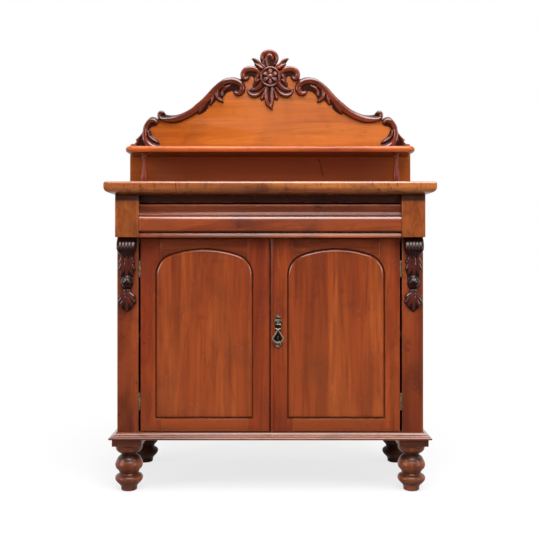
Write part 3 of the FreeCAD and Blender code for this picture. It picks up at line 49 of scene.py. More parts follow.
def put(tree, kind, inputs=None, **settings):
    """Sets one node in a tree: its settings, then what its inputs get. Gives back its outputs."""
    node = tree.nodes.new(kind if "Node" in kind else "ShaderNode" + kind)
    for name, value in settings.items():
        setattr(node, name, value)
    for name, value in (inputs or {}).items():
        if isinstance(value, bpy.types.NodeSocket):
            tree.links.new(value, node.inputs[name])
        else:
            node.inputs[name].default_value = value
    return node.outputs


def new_group(name, kind, inputs, outputs):
    """A group of nodes with its named inputs and outputs; gives back what comes in too."""
    group = bpy.data.node_groups.new(name, kind)
    for side, kinds in (("INPUT", inputs), ("OUTPUT", outputs)):
        for label, holds in kinds.items():
            group.interface.new_socket(label, in_out=side, socket_type="NodeSocket" + holds)
    return group, put(group, "NodeGroupInput")


def tint(red, green, blue):
    """A dye named in the 0 to 255 steps of a paint card."""
    share = [value / 255 for value in (red, green, blue)]
    return (*[s / 12.92 if s <= 0.04045 else ((s + 0.055) / 1.055) ** 2.4 for s in share], 1)


def sums(what, *values):
    """Works values together one after another by ADD, MAXIMUM and the like, or one value
    alone by SINE, FLOOR or ABSOLUTE."""
    total, *rest = values
    for value in rest or [0.0]:
        tree = (total if isinstance(total, bpy.types.NodeSocket) else value).id_data
        total = put(tree, "Math", {0: total, 1: value}, operation=what)[0]
    return total


def times(*values):
    return sums("MULTIPLY", *values)


def spread(value, low, high, first=0.0, last=1.0):
    """Stretches a value between two levels to the full range, softly at both ends."""
    levels = {"Value": value, "From Min": low, "From Max": high, "To Min": first, "To Max": last}
    return put(value.id_data, "MapRange", levels, interpolation_type="SMOOTHSTEP")["Result"]


def stretch(place, along):
    """Draws a pattern out along the grain."""
    return put(place.id_data, "VectorMath", {0: place, 1: (1, 1, along)}, operation="MULTIPLY")[0]


def axis(place, letter):
    """How far along one axis a place lies."""
    return put(place.id_data, "SeparateXYZ", {"Vector": place})[letter]


def cloud(place, scale, detail=2.0, distortion=0.0):
    """Soft uneven patches over a surface, smaller as the scale grows."""
    grain = {"Vector": place, "Scale": scale, "Detail": detail, "Distortion": distortion}
    return put(place.id_data, "TexNoise", grain)[0]


def blend(amount, under, over):
    """Lays one colour over another, by an amount."""
    return put(amount.id_data, "Mix", {0: amount, 6: under, 7: over}, data_type="RGBA")[2]


# Cedar's figure: broad bands, dark growth rings, fine fibres and short open pores.
cedar_figure, enter = new_group(
    "cedar figure", "ShaderNodeTree",
    {"Along": "Vector", "Pale": "Color", "Rich": "Color", "Dark": "Color", "Rings": "Float"},
    {"Colour": "Color", "Fibre": "Float"},
)
along, pale, rich, dark, rings, *_ = enter
broad = cloud(stretch(along, 0.10), 9, 3, 0.8)
bands = cloud(stretch(along, 0.05), 38, 3, 0.4)
fibre = cloud(stretch(along, 0.02), 420, 3)
pores = cloud(stretch(along, 0.03), 900, 1)
ring = spread(sums("SINE", times(broad, 62.0)), 0.35, 1.0)
lit = blend(spread(broad, 0.36, 0.66), rich, pale)
for darker in (
    times(spread(bands, 0.42, 0.70), rings),
    times(ring, rings, 0.45),
    times(spread(pores, 0.60, 0.72), 0.35),
    spread(fibre, 0.2, 0.8, 0.25, 0.0),
):
    lit = blend(darker, lit, dark)
put(cedar_figure, "NodeGroupOutput", {"Colour": lit, "Fibre": fibre})

# A century of use: clouded polish, rubbed ridges and edges, scuffs; low relief tones are painted shade, with some
# dirt, and high ones rubbing that also paints a highlight.
use_and_shade, enter = new_group(
    "use and painted shade", "ShaderNodeTree",
    {
        "Place": "Vector", "Colour": "Color", "Hollow or ridge": "Float", "Arris": "Float",
        "Stain": "Float", "Rub": "Float",
    },
    {"Colour": "Color", "Dullness": "Float"},
)
place, colour, carving, arris, stain, rub, *_ = enter
clouds = spread(cloud(place, 7, 5, 0.6), 0.46, 0.72)
hollow = spread(carving, 0.5, 0.0)
rubbing = spread(cloud(place, 60, 3), 0.35, 0.65)
for amount, dye in (
    (times(clouds, stain), (48, 16, 10)),
    (times(spread(cloud(place, 31, 4), 0.60, 0.74), stain), (38, 14, 10)),
    # Painted shade, with some dirt: low relief tones of hollows, grooves and undersides go near-black brown.
    (times(hollow, 0.85), (34, 11, 8)),
    # Rubbed ridges; on mouldings given high relief tones this is also a painted highlight.
    (times(spread(carving, 0.55, 1.0), rubbing, rub), (176, 96, 52)),
    (times(arris, rubbing, rub), (205, 132, 82)),
    (times(spread(cloud(place, 130, 4), 0.745, 0.775), rub), (205, 170, 140)),
):
    colour = blend(amount, colour, tint(*dye))
dull = sums("ADD", times(clouds, 0.05), times(hollow, 0.04))
put(use_and_shade, "NodeGroupOutput", {"Colour": colour, "Dullness": dull})

GRAIN_TURN = {"Z": (0, 0, 0), "X": (0, math.pi / 2, 0), "Y": (math.pi / 2, 0, 0)}


def new_surface(name):
    """An empty material, its tree and the place on it."""
    surface = bpy.data.materials.new(name)
    surface.use_nodes = True
    tree = surface.node_tree
    tree.nodes.clear()
    return surface, tree, put(tree, "TexCoord")["Object"]


def mark(tree, name):
    """What a piece's shape says of itself: its relief or its arrises."""
    return put(tree, "Attribute", attribute_name=name)["Fac"]


def old_wood(name, colours, lies, shift, bump, rings, stain, rub, gloss, **finish):
    """Wood with its pale, rich and dark parts, the way its grain lies, its wear, and the painted shade and highlight
    of its relief tones.
    """
    wood, tree, place = new_surface(name)
    along = put(tree, "Mapping", {"Vector": place, "Location": shift, "Rotation": GRAIN_TURN[lies]})[0]
    parts = dict(zip(("Pale", "Rich", "Dark"), (tint(*colour) for colour in colours)))
    figure = put(tree, "Group", {"Along": along, **parts, "Rings": rings}, node_tree=cedar_figure)
    use = {
        "Place": along, "Colour": figure["Colour"], "Hollow or ridge": mark(tree, "relief"),
        "Arris": mark(tree, "arris"), "Stain": stain, "Rub": rub,
    }
    worn_and_shaded = put(tree, "Group", use, node_tree=use_and_shade)
    strength, depth = bump
    felt = put(tree, "Bump", {"Height": figure["Fibre"], "Strength": strength, "Distance": depth})[0]
    gloss = sums("ADD", worn_and_shaded["Dullness"], gloss)
    finish = {"Base Color": worn_and_shaded["Colour"], "Roughness": gloss, "Normal": felt, **finish}
    put(tree, "OutputMaterial", {"Surface": put(tree, "BsdfPrincipled", finish)[0]})
    return wood


def polished_cedar(
    name, pale, rich, dark, lies, seed, rings=0.5, stain=0.35, rub=0.3, gloss=0.25, polish=0.4, coat=0.4
):
    """Cedar under old French polish."""
    shift = (seed * 0.37, seed * 0.61, seed * 0.23)
    shine = {"Specular IOR Level": polish, "Coat Weight": coat, "Coat Roughness": 0.13}
    return old_wood(name, (pale, rich, dark), lies, shift, (0.035, 0.0004), rings, stain, rub, gloss, **shine)


def surface_of(wood):
    return next(node for node in wood.node_tree.nodes if node.type == "BSDF_PRINCIPLED").inputs


def over(wood):
    """The place on a wood, and a brush that lays a dye over its colour."""
    tree, face = wood.node_tree, surface_of(wood)["Base Color"]

    def brush(amount, *dye):
        tree.links.new(blend(amount, face.links[0].from_socket, tint(*dye)), face)

    return put(tree, "TexCoord")["Object"], brush


def set_down(name, mesh):
    """Makes a worked shape an object of the scene."""
    data = bpy.data.meshes.new(name)
    mesh.to_mesh(data)
    mesh.free()
    thing = bpy.data.objects.new(name, data)
    bpy.context.scene.collection.objects.link(thing)
    return thing


def add_piece(name, mesh, wood, slot, *nodes, body="carcase"):
    """Finishes a piece: faces outward, curves smooth and arrises crisp, riding on its body."""
    bmesh.ops.recalc_face_normals(mesh, faces=mesh.faces)
    planed = mesh.faces.layers.int.get("planed")
    for face in mesh.faces:
        face.smooth = not (planed and face[planed])
    piece = set_down(name, mesh)
    crisp = 48 if slot in ("carved_wood", "dark_brass") else 32
    piece.data.set_sharp_from_angle(angle=math.radians(crisp))
    piece.data.materials.append(wood)
    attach(piece, body)
    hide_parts(*nodes)


def eased_copy(node, ease=0.8, turn=28):
    """A piece's own shape with its arrises taken off, as a few strokes of sandpaper do."""
    mesh = bmesh.new()
    mesh.from_mesh(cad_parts[node].data)
    bmesh.ops.remove_doubles(mesh, verts=mesh.verts, dist=0.01 * MM)
    bmesh.ops.dissolve_limit(mesh, angle_limit=math.radians(0.5), verts=mesh.verts, edges=mesh.edges)
    relief = mesh.verts.layers.float.new("relief")
    arris = mesh.loops.layers.float.new("arris")
    planed = mesh.faces.layers.int.new("planed")
    arrises = [
        edge for edge in mesh.edges if edge.is_manifold and edge.calc_face_angle() > math.radians(turn)
    ]
    bmesh.ops.bevel(
        mesh, geom=arrises, offset=ease * MM, segments=2, profile=0.5, affect="EDGES", clamp_overlap=True
    )
    for face in mesh.faces:
        broad = face.calc_area() > 0.5 * ease * MM * face.calc_perimeter()
        turns = [edge.calc_face_angle(0) for edge in face.edges]
        face[planed] = broad and all(angle < 0.005 or angle > 0.2 for angle in turns)
        for corner in face.loops:
            corner[arris] = 0.0 if broad else 1.0
    for point in mesh.verts:
        point[relief] = 0.5
    return mesh


def add_eased(ending, node, ease, wood, slot, body="carcase"):
    """A piece that keeps its own shape apart from its eased arrises."""
    add_piece(f"{node}_{ending}", eased_copy(node, ease), wood, slot, node, body=body)


pilaster_cedar = polished_cedar(
    "pilaster cedar", (170, 82, 38), (134, 56, 26), (86, 34, 17), "Z", 1, stain=0.45
)
end_cedar = polished_cedar("end cedar", (160, 78, 36), (128, 56, 26), (84, 34, 18), "Z", 2)
block_cedar = polished_cedar("block cedar", (208, 120, 54), (168, 88, 38), (98, 42, 21), "Z", 3, stain=0.3)
place, brush = over(block_cedar)
brush(spread(cloud(stretch(place, 0.5), 42, 3, 1.2), 0.42, 0.62, 0.0, 0.5), 116, 52, 24)
# Painted shadow: a dark band across the top of the blocks, under the top board's overhang.
brush(spread(axis(place, "Z"), 0.889, 0.897, 0.0, 0.85), 44, 18, 12)
for side in ("left", "right"):
    add_eased("polished", f"{side}_pilaster", 1.0, pilaster_cedar, "case_wood")
    end_panel = f"{side}_end_panel"
    add_piece(f"{side}_end_polished", eased_copy(end_panel, 0.8), end_cedar, "case_wood", end_panel)
add_eased("polished", "frieze_blocks", 1.2, block_cedar, "case_wood")

# --- Boards inside and behind the case
# Pine left off the saw and plane: the floor, the shelf on its bearers, the drawer's
# rail, runners and kickers, and the tongued boards of the back. No polish on any.


def bare_pine(name, lies, seed, colours=((196, 150, 98), (170, 122, 76), (120, 80, 48))):
    """Unpolished pine that has gone brown with age."""
    shift = (seed * 0.29, seed * 0.53, seed * 0.17)
    return old_wood(name, colours, lies, shift, (0.35, 0.0006), rings=0.6, stain=0.3, rub=0.2, gloss=0.62)


pine_across = bare_pine("pine across the case", "X", 1)
pine_back_to_front = bare_pine("pine from front to back", "Y", 2)
pine_upright = bare_pine("pine boards of the back", "Z", 3)
pine_stained = bare_pine(
    "stained pine of the floor", "X", 4, ((112, 60, 34), (88, 44, 26), (58, 28, 18))
)
HALF_BACK, BOARD_WIDTH = 0.45, 0.18
tree = pine_upright.node_tree
place, brush = over(pine_upright)
which_board = sums("FLOOR", sums("DIVIDE", sums("ADD", axis(place, "X"), HALF_BACK), BOARD_WIDTH))
own_tone = put(tree, "TexWhiteNoise", {"W": which_board}, noise_dimensions="1D")["Value"]
brush(spread(own_tone, 0.0, 1.0, 0.0, 0.45), 96, 62, 38)
brush(mark(tree, "arris"), 40, 27, 18)
for node, ease, wood in (
    ("bottom_board", 0.5, pine_stained),
    ("cupboard_shelf", 0.5, pine_across),
    ("drawer_rail", 0.5, pine_across),
    ("shelf_bearers", 0.5, pine_back_to_front),
    ("drawer_runners", 0.5, pine_back_to_front),
    ("drawer_kickers", 0.5, pine_back_to_front),
    ("back_boards", 1.6, pine_upright),
):
    add_eased("planed", node, ease, wood, "inside_wood")

# --- Top board and its rail
# One wide cedar board with a small round above and a thumb mould worked under its
# front and ends, glued down on the blocks and on a rail set back under it, dyed dark
# as painted shade from the top.


def marked(mesh):
    """Readies a shape to hold its arrises and its relief: a tone from hollow (0) to proud (1), which the finish paints
    as shade and highlight, or as patina on brass.
    """
    if mesh.loops.layers.float.get("arris") is None:
        mesh.loops.layers.float.new("arris")
    return mesh.verts.layers.float.get("relief") or mesh.verts.layers.float.new("relief")


def shell_of(loops, mesh=None, hoop=False):
    """Joins closed rounds of points into a skin, with both ends shut or the last round joined
    to the first. A point's fourth number is its relief."""
    mesh = bmesh.new() if mesh is None else mesh
    relief = marked(mesh)
    rounds = []
    for loop in loops:
        points = []
        for x, y, z, *tone in loop:
            point = mesh.verts.new((x * MM, y * MM, z * MM))
            point[relief] = tone[0] if tone else 0.5
            points.append(point)
        rounds.append(points)
    for low, high in zip(rounds, rounds[1:] + (rounds[:1] if hoop else [])):
        for index, point in enumerate(low):
            after = (index + 1) % len(low)
            mesh.faces.new((point, low[after], high[after], high[index]))
    for end in () if hoop else (rounds[0], rounds[-1]):
        mesh.faces.new(end)
    return mesh


def arc(centre, reach, start, end, steps):
    """Points of an ellipse's arc about a centre, with its two half axes, in degrees."""
    points = []
    for step in range(steps + 1):
        angle = math.radians(start + (end - start) * step / steps)
        points.append((centre[0] + reach[0] * math.cos(angle), centre[1] + reach[1] * math.sin(angle)))
    return points


def board_plan(half, front, back, corner):
    """Outline from above of a board whose two front corners are rounded."""
    turn = arc((-half + corner, front + corner), (corner, corner), 180, 270, 8)
    other = arc((half - corner, front + corner), (corner, corner), 270, 360, 8)
    return [(-half, back), *turn, *other, (half, back)]


top_cedar = polished_cedar(
    "top cedar", (204, 122, 58), (180, 98, 45), (116, 52, 25), "X", 4, stain=0.4, rub=0.45, polish=0.6,
    coat=0.8,
)
place, brush = over(top_cedar)
brush(spread(cloud(stretch(place, 0.4), 26, 4, 0.8), 0.56, 0.68, 0.0, 0.55), 84, 36, 19)
checks = spread(cloud(stretch(place, 0.12), 190, 2), 0.58, 0.68)
brush(times(checks, spread(cloud(place, 16, 2), 0.36, 0.56, 0.0, 0.75)), 58, 24, 13)
# Relief tones: the thumb mould's underside is painted shade, darker the further it runs in, and the upper round is a
# little lighter as a painted highlight.
under_curve = [
    (30, 912, 0.15), (20, 914.4, 0.2), (12, 917, 0.25), (7.6, 919.2, 0.3), (4.4, 921.8, 0.4), (2.2, 925, 0.45),
    (0.7, 929, 0.5), (0, 933.5, 0.5), (0, 938, 0.5),
]
upper_curve = [(8 + x, z, 0.62) for x, z in arc((0, 942), (8, 8), 180, 90, 9)]
top_loops = []
for inset, z, tone in [(40, 912, 0.42), *under_curve, *upper_curve, (16, 950, 0.5)]:
    plan = board_plan(499.9 - inset, -227.4 + inset, 227.4, max(5 - inset, 2.0))
    top_loops.append([(x, y, z, tone) for x, y in plan])
add_piece("top_moulded", shell_of(top_loops), top_cedar, "case_wood", "top_board")
# The rail's cedar is near-black brown: painted shade from the top board over it.
rail_cedar = polished_cedar("rail cedar", (84, 34, 18), (62, 24, 14), (36, 14, 9), "X", 5, stain=0.5)
add_piece(
    "top_rail_polished", eased_copy("top_front_rail", 0.8), rail_cedar, "case_wood", "top_front_rail"
)

# --- Base moulding
# A hollow sloping down to a bead, run along the front and mitred to a return on
# each end; glued round the foot of the case.

base_cedar = polished_cedar(
    "base cedar", (146, 84, 54), (116, 60, 38), (76, 34, 22), "X", 6, rings=0.3, stain=0.3, rub=0.5,
    gloss=0.2, polish=0.6, coat=0.5,
)
base_return_cedar = polished_cedar(
    "base return cedar", (140, 80, 52), (110, 56, 36), (72, 32, 21), "Y", 7, rings=0.3, stain=0.3, gloss=0.2
)
CASE_HALF, CASE_FRONT, RETURN_BACK = 470, -163.5, 221.4
# Relief tones: the bottom, the groove and the back are painted shade; the bead and the hollow are a little lighter as
# painted highlight.
base_section = [(0, 164, 0.3), (18.0, 164, 0.3)]
base_section += [(out, up, 0.6) for out, up in arc((18.4, 168.2), (4.6, 4.1), -80, 84, 11)]
base_section += [
    (17.4, 172.4, 0.1), (16.4, 172.9, 0.1), (15.4, 174.1, 0.45), (13.4, 175.2, 0.55), (10.6, 176.4, 0.55),
    (7.8, 177.9, 0.55), (5.6, 179.8, 0.5), (4.1, 182.0, 0.5), (3.4, 184.0, 0.45), (3.0, 184.9, 0.4), (0, 184.9, 0.2),
]


def base_end(side, y, mitre):
    """The moulding's section at an end, cut to a mitre (1) or square (0)."""
    return [(side * (CASE_HALF + out), y - mitre * out, up, tone) for out, up, tone in base_section]


base_front = shell_of([base_end(-1, CASE_FRONT, 1), base_end(1, CASE_FRONT, 1)])
add_piece("base_moulding_front_run", base_front, base_cedar, "case_wood", "base_moulding_front")
for side, name in ((-1, "left"), (1, "right")):
    run = shell_of([base_end(side, CASE_FRONT, 1), base_end(side, RETURN_BACK, 0)])
    add_piece(f"base_moulding_{name}_return", run, base_return_cedar, "case_wood", "base_moulding_returns")

# --- Feet and their blocks
# Four feet turned from square cedar on a lathe: a neck, a big bun, a reel, a smaller bun
# with a crisp arris, and a short toe. A peg on each goes up through a flat block.


def through(points, sharp=(), steps=5, closed=False):
    """A smooth line through points. A point whose number is in sharp keeps its corner."""
    count = len(points)
    spans = count if closed else count - 1
    line = []
    for index in range(spans):
        start, end = points[index], points[(index + 1) % count]
        before = points[(index - 1) % count] if closed or index > 0 else None
        after = points[(index + 2) % count] if closed or index + 2 < count else None
        if before is None or index in sharp:
            before = [2 * a - b for a, b in zip(start, end)]
        if after is None or (index + 1) % count in sharp:
            after = [2 * b - a for a, b in zip(start, end)]
        for step in range(steps):
            t = step / steps
            line.append(tuple(
                0.5 * (2 * b + (c - a) * t + (2 * a - 5 * b + 4 * c - d) * t * t + (3 * b - a - 3 * c + d) * t ** 3)
                for a, b, c, d in zip(before, start, end, after)
            ))
    if not closed:
        line.append(tuple(points[-1]))
    return line


def give_out(tree, shapes, wood, name):
    """Makes a tree's instances real, in their wood or metal, and lets them out."""
    shapes = put(tree, "GeometryNodeRealizeInstances", {"Geometry": shapes})[0]
    shapes = put(tree, "GeometryNodeSetMaterial", {"Geometry": shapes, "Material": wood})[0]
    put(tree, "NodeGroupOutput", {name: shapes})


# The lathe: a half profile turned about its own axis, one turning on every standing point.
lathe, enter = new_group(
    "turned on the lathe", "GeometryNodeTree",
    {
        "Standing points": "Geometry", "Profile": "Object", "Profile points": "Int", "Sides": "Int",
        "Wood": "Material",
    },
    {"Turnings": "Geometry"},
)
standing, rod, count, sides, wood, *_ = enter
profile = put(lathe, "GeometryNodeObjectInfo", {"Object": rod})["Geometry"]
blank = put(
    lathe, "GeometryNodeMeshGrid", {"Vertices X": sums("ADD", sides, 1.0), "Vertices Y": count}
)["Mesh"]
number = put(lathe, "GeometryNodeInputIndex")[0]
column = sums("FLOOR", sums("DIVIDE", number, count))
turn = times(sums("DIVIDE", column, sides), math.tau)
where = put(lathe, "GeometryNodeInputPosition")[0]
row = sums("MODULO", number, count)
reading = {"Geometry": profile, "Value": where, "Index": row}
taken = put(lathe, "GeometryNodeSampleIndex", reading, data_type="FLOAT_VECTOR")[0]
spun = put(lathe, "VectorRotate", {"Vector": taken, "Angle": turn}, rotation_type="Z_AXIS")[0]
turned = put(lathe, "GeometryNodeSetPosition", {"Geometry": blank, "Position": spun})[0]
turned = put(lathe, "GeometryNodeMergeByDistance", {"Geometry": turned, "Distance": 0.00001})[0]
stood = put(lathe, "GeometryNodeInstanceOnPoints", {"Points": standing, "Instance": turned})[0]
give_out(lathe, stood, wood, "Turnings")


def loose_points(name, points):
    """Bare points, in millimetres, that a tree reads."""
    mesh = bmesh.new()
    for point in points:
        mesh.verts.new(Vector(point) * MM)
    return set_down(name, mesh)


def grown(tree, thing, **values):
    """Runs a tree on an object and gives back the plain shape; the object goes."""
    growth = thing.modifiers.new("growth", "NODES")
    growth.node_group = tree
    for item in tree.interface.items_tree:
        label = item.name.replace(" ", "_").lower()
        if item.in_out == "INPUT" and label in values:
            growth[item.identifier] = values[label]
    graph = bpy.context.evaluated_depsgraph_get()
    mesh = bmesh.new()
    mesh.from_mesh(bpy.data.meshes.new_from_object(thing.evaluated_get(graph), depsgraph=graph))
    bpy.data.objects.remove(thing)
    plain = mesh.verts.layers.float.get("relief") is None
    relief = marked(mesh)
    for point in mesh.verts if plain else ():
        point[relief] = 0.5
    return mesh


def add_turned(node, profile, places, wood, sides=72):
    """Turned pieces of one profile, standing at each of the places."""
    rod = loose_points("profile", [(r, 0, z) for r, z in profile])
    stands = loose_points("stands", places)
    mesh = grown(lathe, stands, profile=rod, profile_points=len(profile), sides=sides, wood=wood)
    bpy.data.objects.remove(rod)
    add_piece(f"{node}_turned", mesh, wood, "turned_wood", node)


foot_cedar = polished_cedar(
    "foot cedar", (176, 92, 44), (134, 64, 30), (62, 27, 16), "Z", 8, stain=0.4, gloss=0.36, coat=0.15
)
place, brush = over(foot_cedar)
height = axis(place, "Z")
# Painted shade, with some dirt: dark bands at the necks and on the buns, under the case.
SHADE_AND_DIRT_BANDS = ((0.101, 0.119, 0.010, 0.8), (0.048, 0.056, 0.006, 0.6), (0.022, 0.027, 0.004, 0.6))
for low, high, fade, depth in SHADE_AND_DIRT_BANDS:
    above, below = spread(height, low - fade, low), spread(height, high + fade, high, 0.0, depth)
    brush(times(above, below), 38, 17, 12)
# A darker copy of the foot cedar for the rear feet: painted shade, as they stand back under the case.
rear_foot_shaded_cedar = polished_cedar(
    "rear foot cedar in painted shade", (78, 38, 24), (56, 26, 17), (34, 15, 10), "Z", 9, stain=0.5, gloss=0.5, polish=0.1,
    coat=0.0,
)
foot_block_cedar = polished_cedar(
    "foot block cedar", (112, 52, 29), (88, 38, 22), (56, 23, 14), "X", 10, gloss=0.4, coat=0.1
)
foot_toe = [(0, 0), (22, 0), (24.2, 1.5), (24.6, 7), (25.2, 13)]
foot_buns = through(
    [
        (25.2, 13), (30.6, 19.6), (36.8, 25.8), (41.2, 32), (42.8, 38.3), (40.2, 44.6), (31, 50.8),
        (28.3, 54.9), (30.6, 57.4), (33.8, 63.4), (39.6, 69.6), (42.6, 79.5), (40.4, 88.4), (37.2, 94.6),
        (34, 101), (28, 107), (22.4, 111.6), (22.4, 113.6), (33.6, 119.4), (39.6, 126),
    ],
    sharp=(0, 4, 6, 7, 16, 17),
)
foot_head = [(41, 131), (41.2, 137), (39.5, 141.5), (37, 143), (15, 143), (15, 157.9), (0, 157.9)]
foot_profile = foot_toe + foot_buns[1:] + foot_head
for node, y, wood in (("front_feet", -132.5, foot_cedar), ("rear_feet", 182.5, rear_foot_shaded_cedar)):
    add_turned(node, foot_profile, [(-439, y, 0), (439, y, 0)], wood)
add_eased("eased", "foot_blocks", 1.0, foot_block_cedar, "case_wood")

# --- Drawer
# A cushion-moulded front of cedar, worked in one length: a bead, a cove, a fat torus,
# a quirk and a lower bead. Sides and back are pine, dovetailed, with a thin bottom.

drawer_cedar = polished_cedar(
    "drawer cedar", (178, 86, 36), (142, 59, 26), (90, 34, 17), "X", 11, rings=0.6, stain=0.4, polish=0.7,
    coat=0.9,
)
# Relief tones: the gap under the rail, the quirk and the underside of the torus are painted shade; the torus shoulder
# and the beads are a little lighter as painted highlight.
drawer_section = [(-161.5, 781.5, 0.4), (-161.5, 885, 0.1), (-172, 885, 0.05), (-176.4, 884.8, 0.3)]
# Painted highlight: the top bead's tone is raised high, where the top board's overhang keeps the lamps off it.
drawer_section += [(y, z, 0.9) for y, z in arc((-178.0, 879.6), (-6.4, 5.0), 80, -60, 10)]
drawer_section += [(-180.6, 873.6, 0.4), (-179.2, 869.5, 0.48), (-178.7, 864, 0.5), (-179.1, 859, 0.5)]
drawer_section += [(-180.4, 855.6, 0.48), (-182.6, 854, 0.5)]
drawer_section += [(y, z, 0.58) for y, z in arc((-184.2, 850.2), (-4.4, 3.4), 80, -52, 8)]
drawer_section += [(-187.4, 847.0, 0.15), (-188.6, 846.8, 0.3)]
drawer_section += [
    (-190.9, 846.3, 0.56), (-192.3, 845.0, 0.6), (-193.8, 842.4, 0.6), (-195.1, 839.2, 0.6), (-195.8, 836.8, 0.56),
    (-196.2, 833.4, 0.5), (-197.0, 825, 0.5), (-197.7, 817, 0.5), (-197.9, 809, 0.5),
    (-197.5, 805, 0.45), (-196.2, 802.2, 0.4), (-193.4, 800.5, 0.3), (-189, 799.6, 0.15), (-184.6, 799.2, 0.08),
    (-183.0, 798.6, 0.05),
]
drawer_section += [
    (-184.4, 798.2, 0.5), (-186.6, 797.0, 0.56), (-188.0, 794.6, 0.58), (-189.2, 791.2, 0.58), (-190.3, 787.4, 0.58),
    (-191.2, 784.2, 0.56), (-191.0, 782.4, 0.5), (-189.4, 781.6, 0.4),
]
drawer_ends = [[(x, y, z, tone) for y, z, tone in drawer_section] for x in (-398, 398)]
add_piece(
    "drawer_front_cushion", shell_of(drawer_ends), drawer_cedar, "drawer_wood", "drawer_front", body="drawer"
)
for node, wood in (
    ("drawer_sides", pine_back_to_front), ("drawer_back", pine_across), ("drawer_bottom", pine_across)
):
    add_eased("planed", node, 0.5, wood, "inside_wood", "drawer")

# --- Doors
# Stiles and rails grooved and tenoned together, with a raised panel in each groove that
# is free to shrink: a sunk margin, a rounded arris, and a broad flat field of plain figure.

stile_cedar = polished_cedar(
    "stile cedar", (166, 74, 32), (138, 53, 23), (92, 34, 16), "Z", 12, rings=0.45, stain=0.25
)
door_rail_cedar = polished_cedar(
    "door rail cedar", (158, 72, 31), (130, 51, 22), (86, 32, 15), "X", 13, rings=0.45, stain=0.3
)
panel_cedar = polished_cedar(
    "panel cedar", (176, 85, 35), (152, 65, 27), (106, 42, 19), "Z", 14, rings=0.6, stain=0.2, coat=0.9
)
place, brush = over(panel_cedar)
brush(spread(cloud(stretch(place, 0.04), 105, 3), 0.46, 0.70, 0.0, 0.45), 98, 36, 16)
# Painted light: the panel is lighter toward the bottom, away from the shade under the drawer.
brush(spread(axis(place, "Z"), 0.30, 0.75, 0.09, 0.0), 206, 108, 44)
place, brush = over(door_rail_cedar)
# Painted light: the bottom rail is lighter than the top rail, which sits in the shade under the drawer.
brush(spread(axis(place, "Z"), 0.30, 0.25, 0.0, 0.28), 190, 96, 42)
OPENING_LEFT, OPENING_RIGHT, OPENING_BOTTOM = 51.6, 354.0, 225.0
OPENING_MIDDLE = (OPENING_LEFT + OPENING_RIGHT) / 2
# Across the meeting stile from here the edge is dark with dirt and painted shade.
DIRT_AND_SHADE_LINE = -3.6


def three_centred(shoulder, rise, springing):
    """An arch of two small arcs and a large one: the small radius, the height it springs from,
    how far out the small arcs' centres lie, the large radius, how far its centre lies below
    the springing, and the angle where they meet."""
    offset = OPENING_RIGHT - OPENING_MIDDLE - shoulder
    large = (offset * offset + rise * rise - shoulder * shoulder) / (2 * (rise - shoulder))
    return shoulder, springing, offset, large, large - rise, math.atan2(large - rise, offset)


SAWN_ARCH = three_centred(45.0, 56.5, 691.0)
DONE_ARCH = three_centred(70.0, 84.0, 666.5)


def arched(grow, y, tone=0.5):
    """The right panel opening's outline, made larger all round, or smaller."""
    shoulder, springing, offset, large, drop, meeting = DONE_ARCH
    lean = math.degrees(meeting)
    small, large = (shoulder + grow,) * 2, (large + grow,) * 2
    outline = [(OPENING_LEFT - grow, OPENING_BOTTOM - grow), (OPENING_RIGHT + grow, OPENING_BOTTOM - grow)]
    outline += arc((OPENING_MIDDLE + offset, springing), small, 0, lean, 18)
    outline += arc((OPENING_MIDDLE, springing - drop), large, lean, 180 - lean, 48)[1:]
    outline += arc((OPENING_MIDDLE - offset, springing), small, 180 - lean, 180, 18)[1:]
    return [(x, y, z, tone) for x, z in outline]


def finish_arch(mesh):
    """Works a frame's sawn arch to its finished curve with rounder shoulders: each point
    keeps its place across the door and its depth in the wood."""
    shoulder, springing, offset, large, drop, meeting = SAWN_ARCH
    done_shoulder, done_springing, done_offset, done_large, done_drop, done_meeting = DONE_ARCH
    for point in mesh.verts:
        out = abs(abs(point.co.x) / MM - OPENING_MIDDLE)
        up = point.co.z / MM - springing
        if math.atan2(up, out - offset) < meeting:
            depth = math.hypot(out - offset, up) - shoulder
        else:
            depth = math.hypot(out, up + drop) - large
        if up < -0.05 or not -1.5 < depth < 9:
            continue
        if out > done_offset + (done_shoulder + depth) * math.cos(done_meeting):
            up = math.sqrt(max((done_shoulder + depth) ** 2 - (out - done_offset) ** 2, 0))
        else:
            up = math.sqrt((done_large + depth) ** 2 - out ** 2) - done_drop
        point.co.z = (done_springing + up) * MM


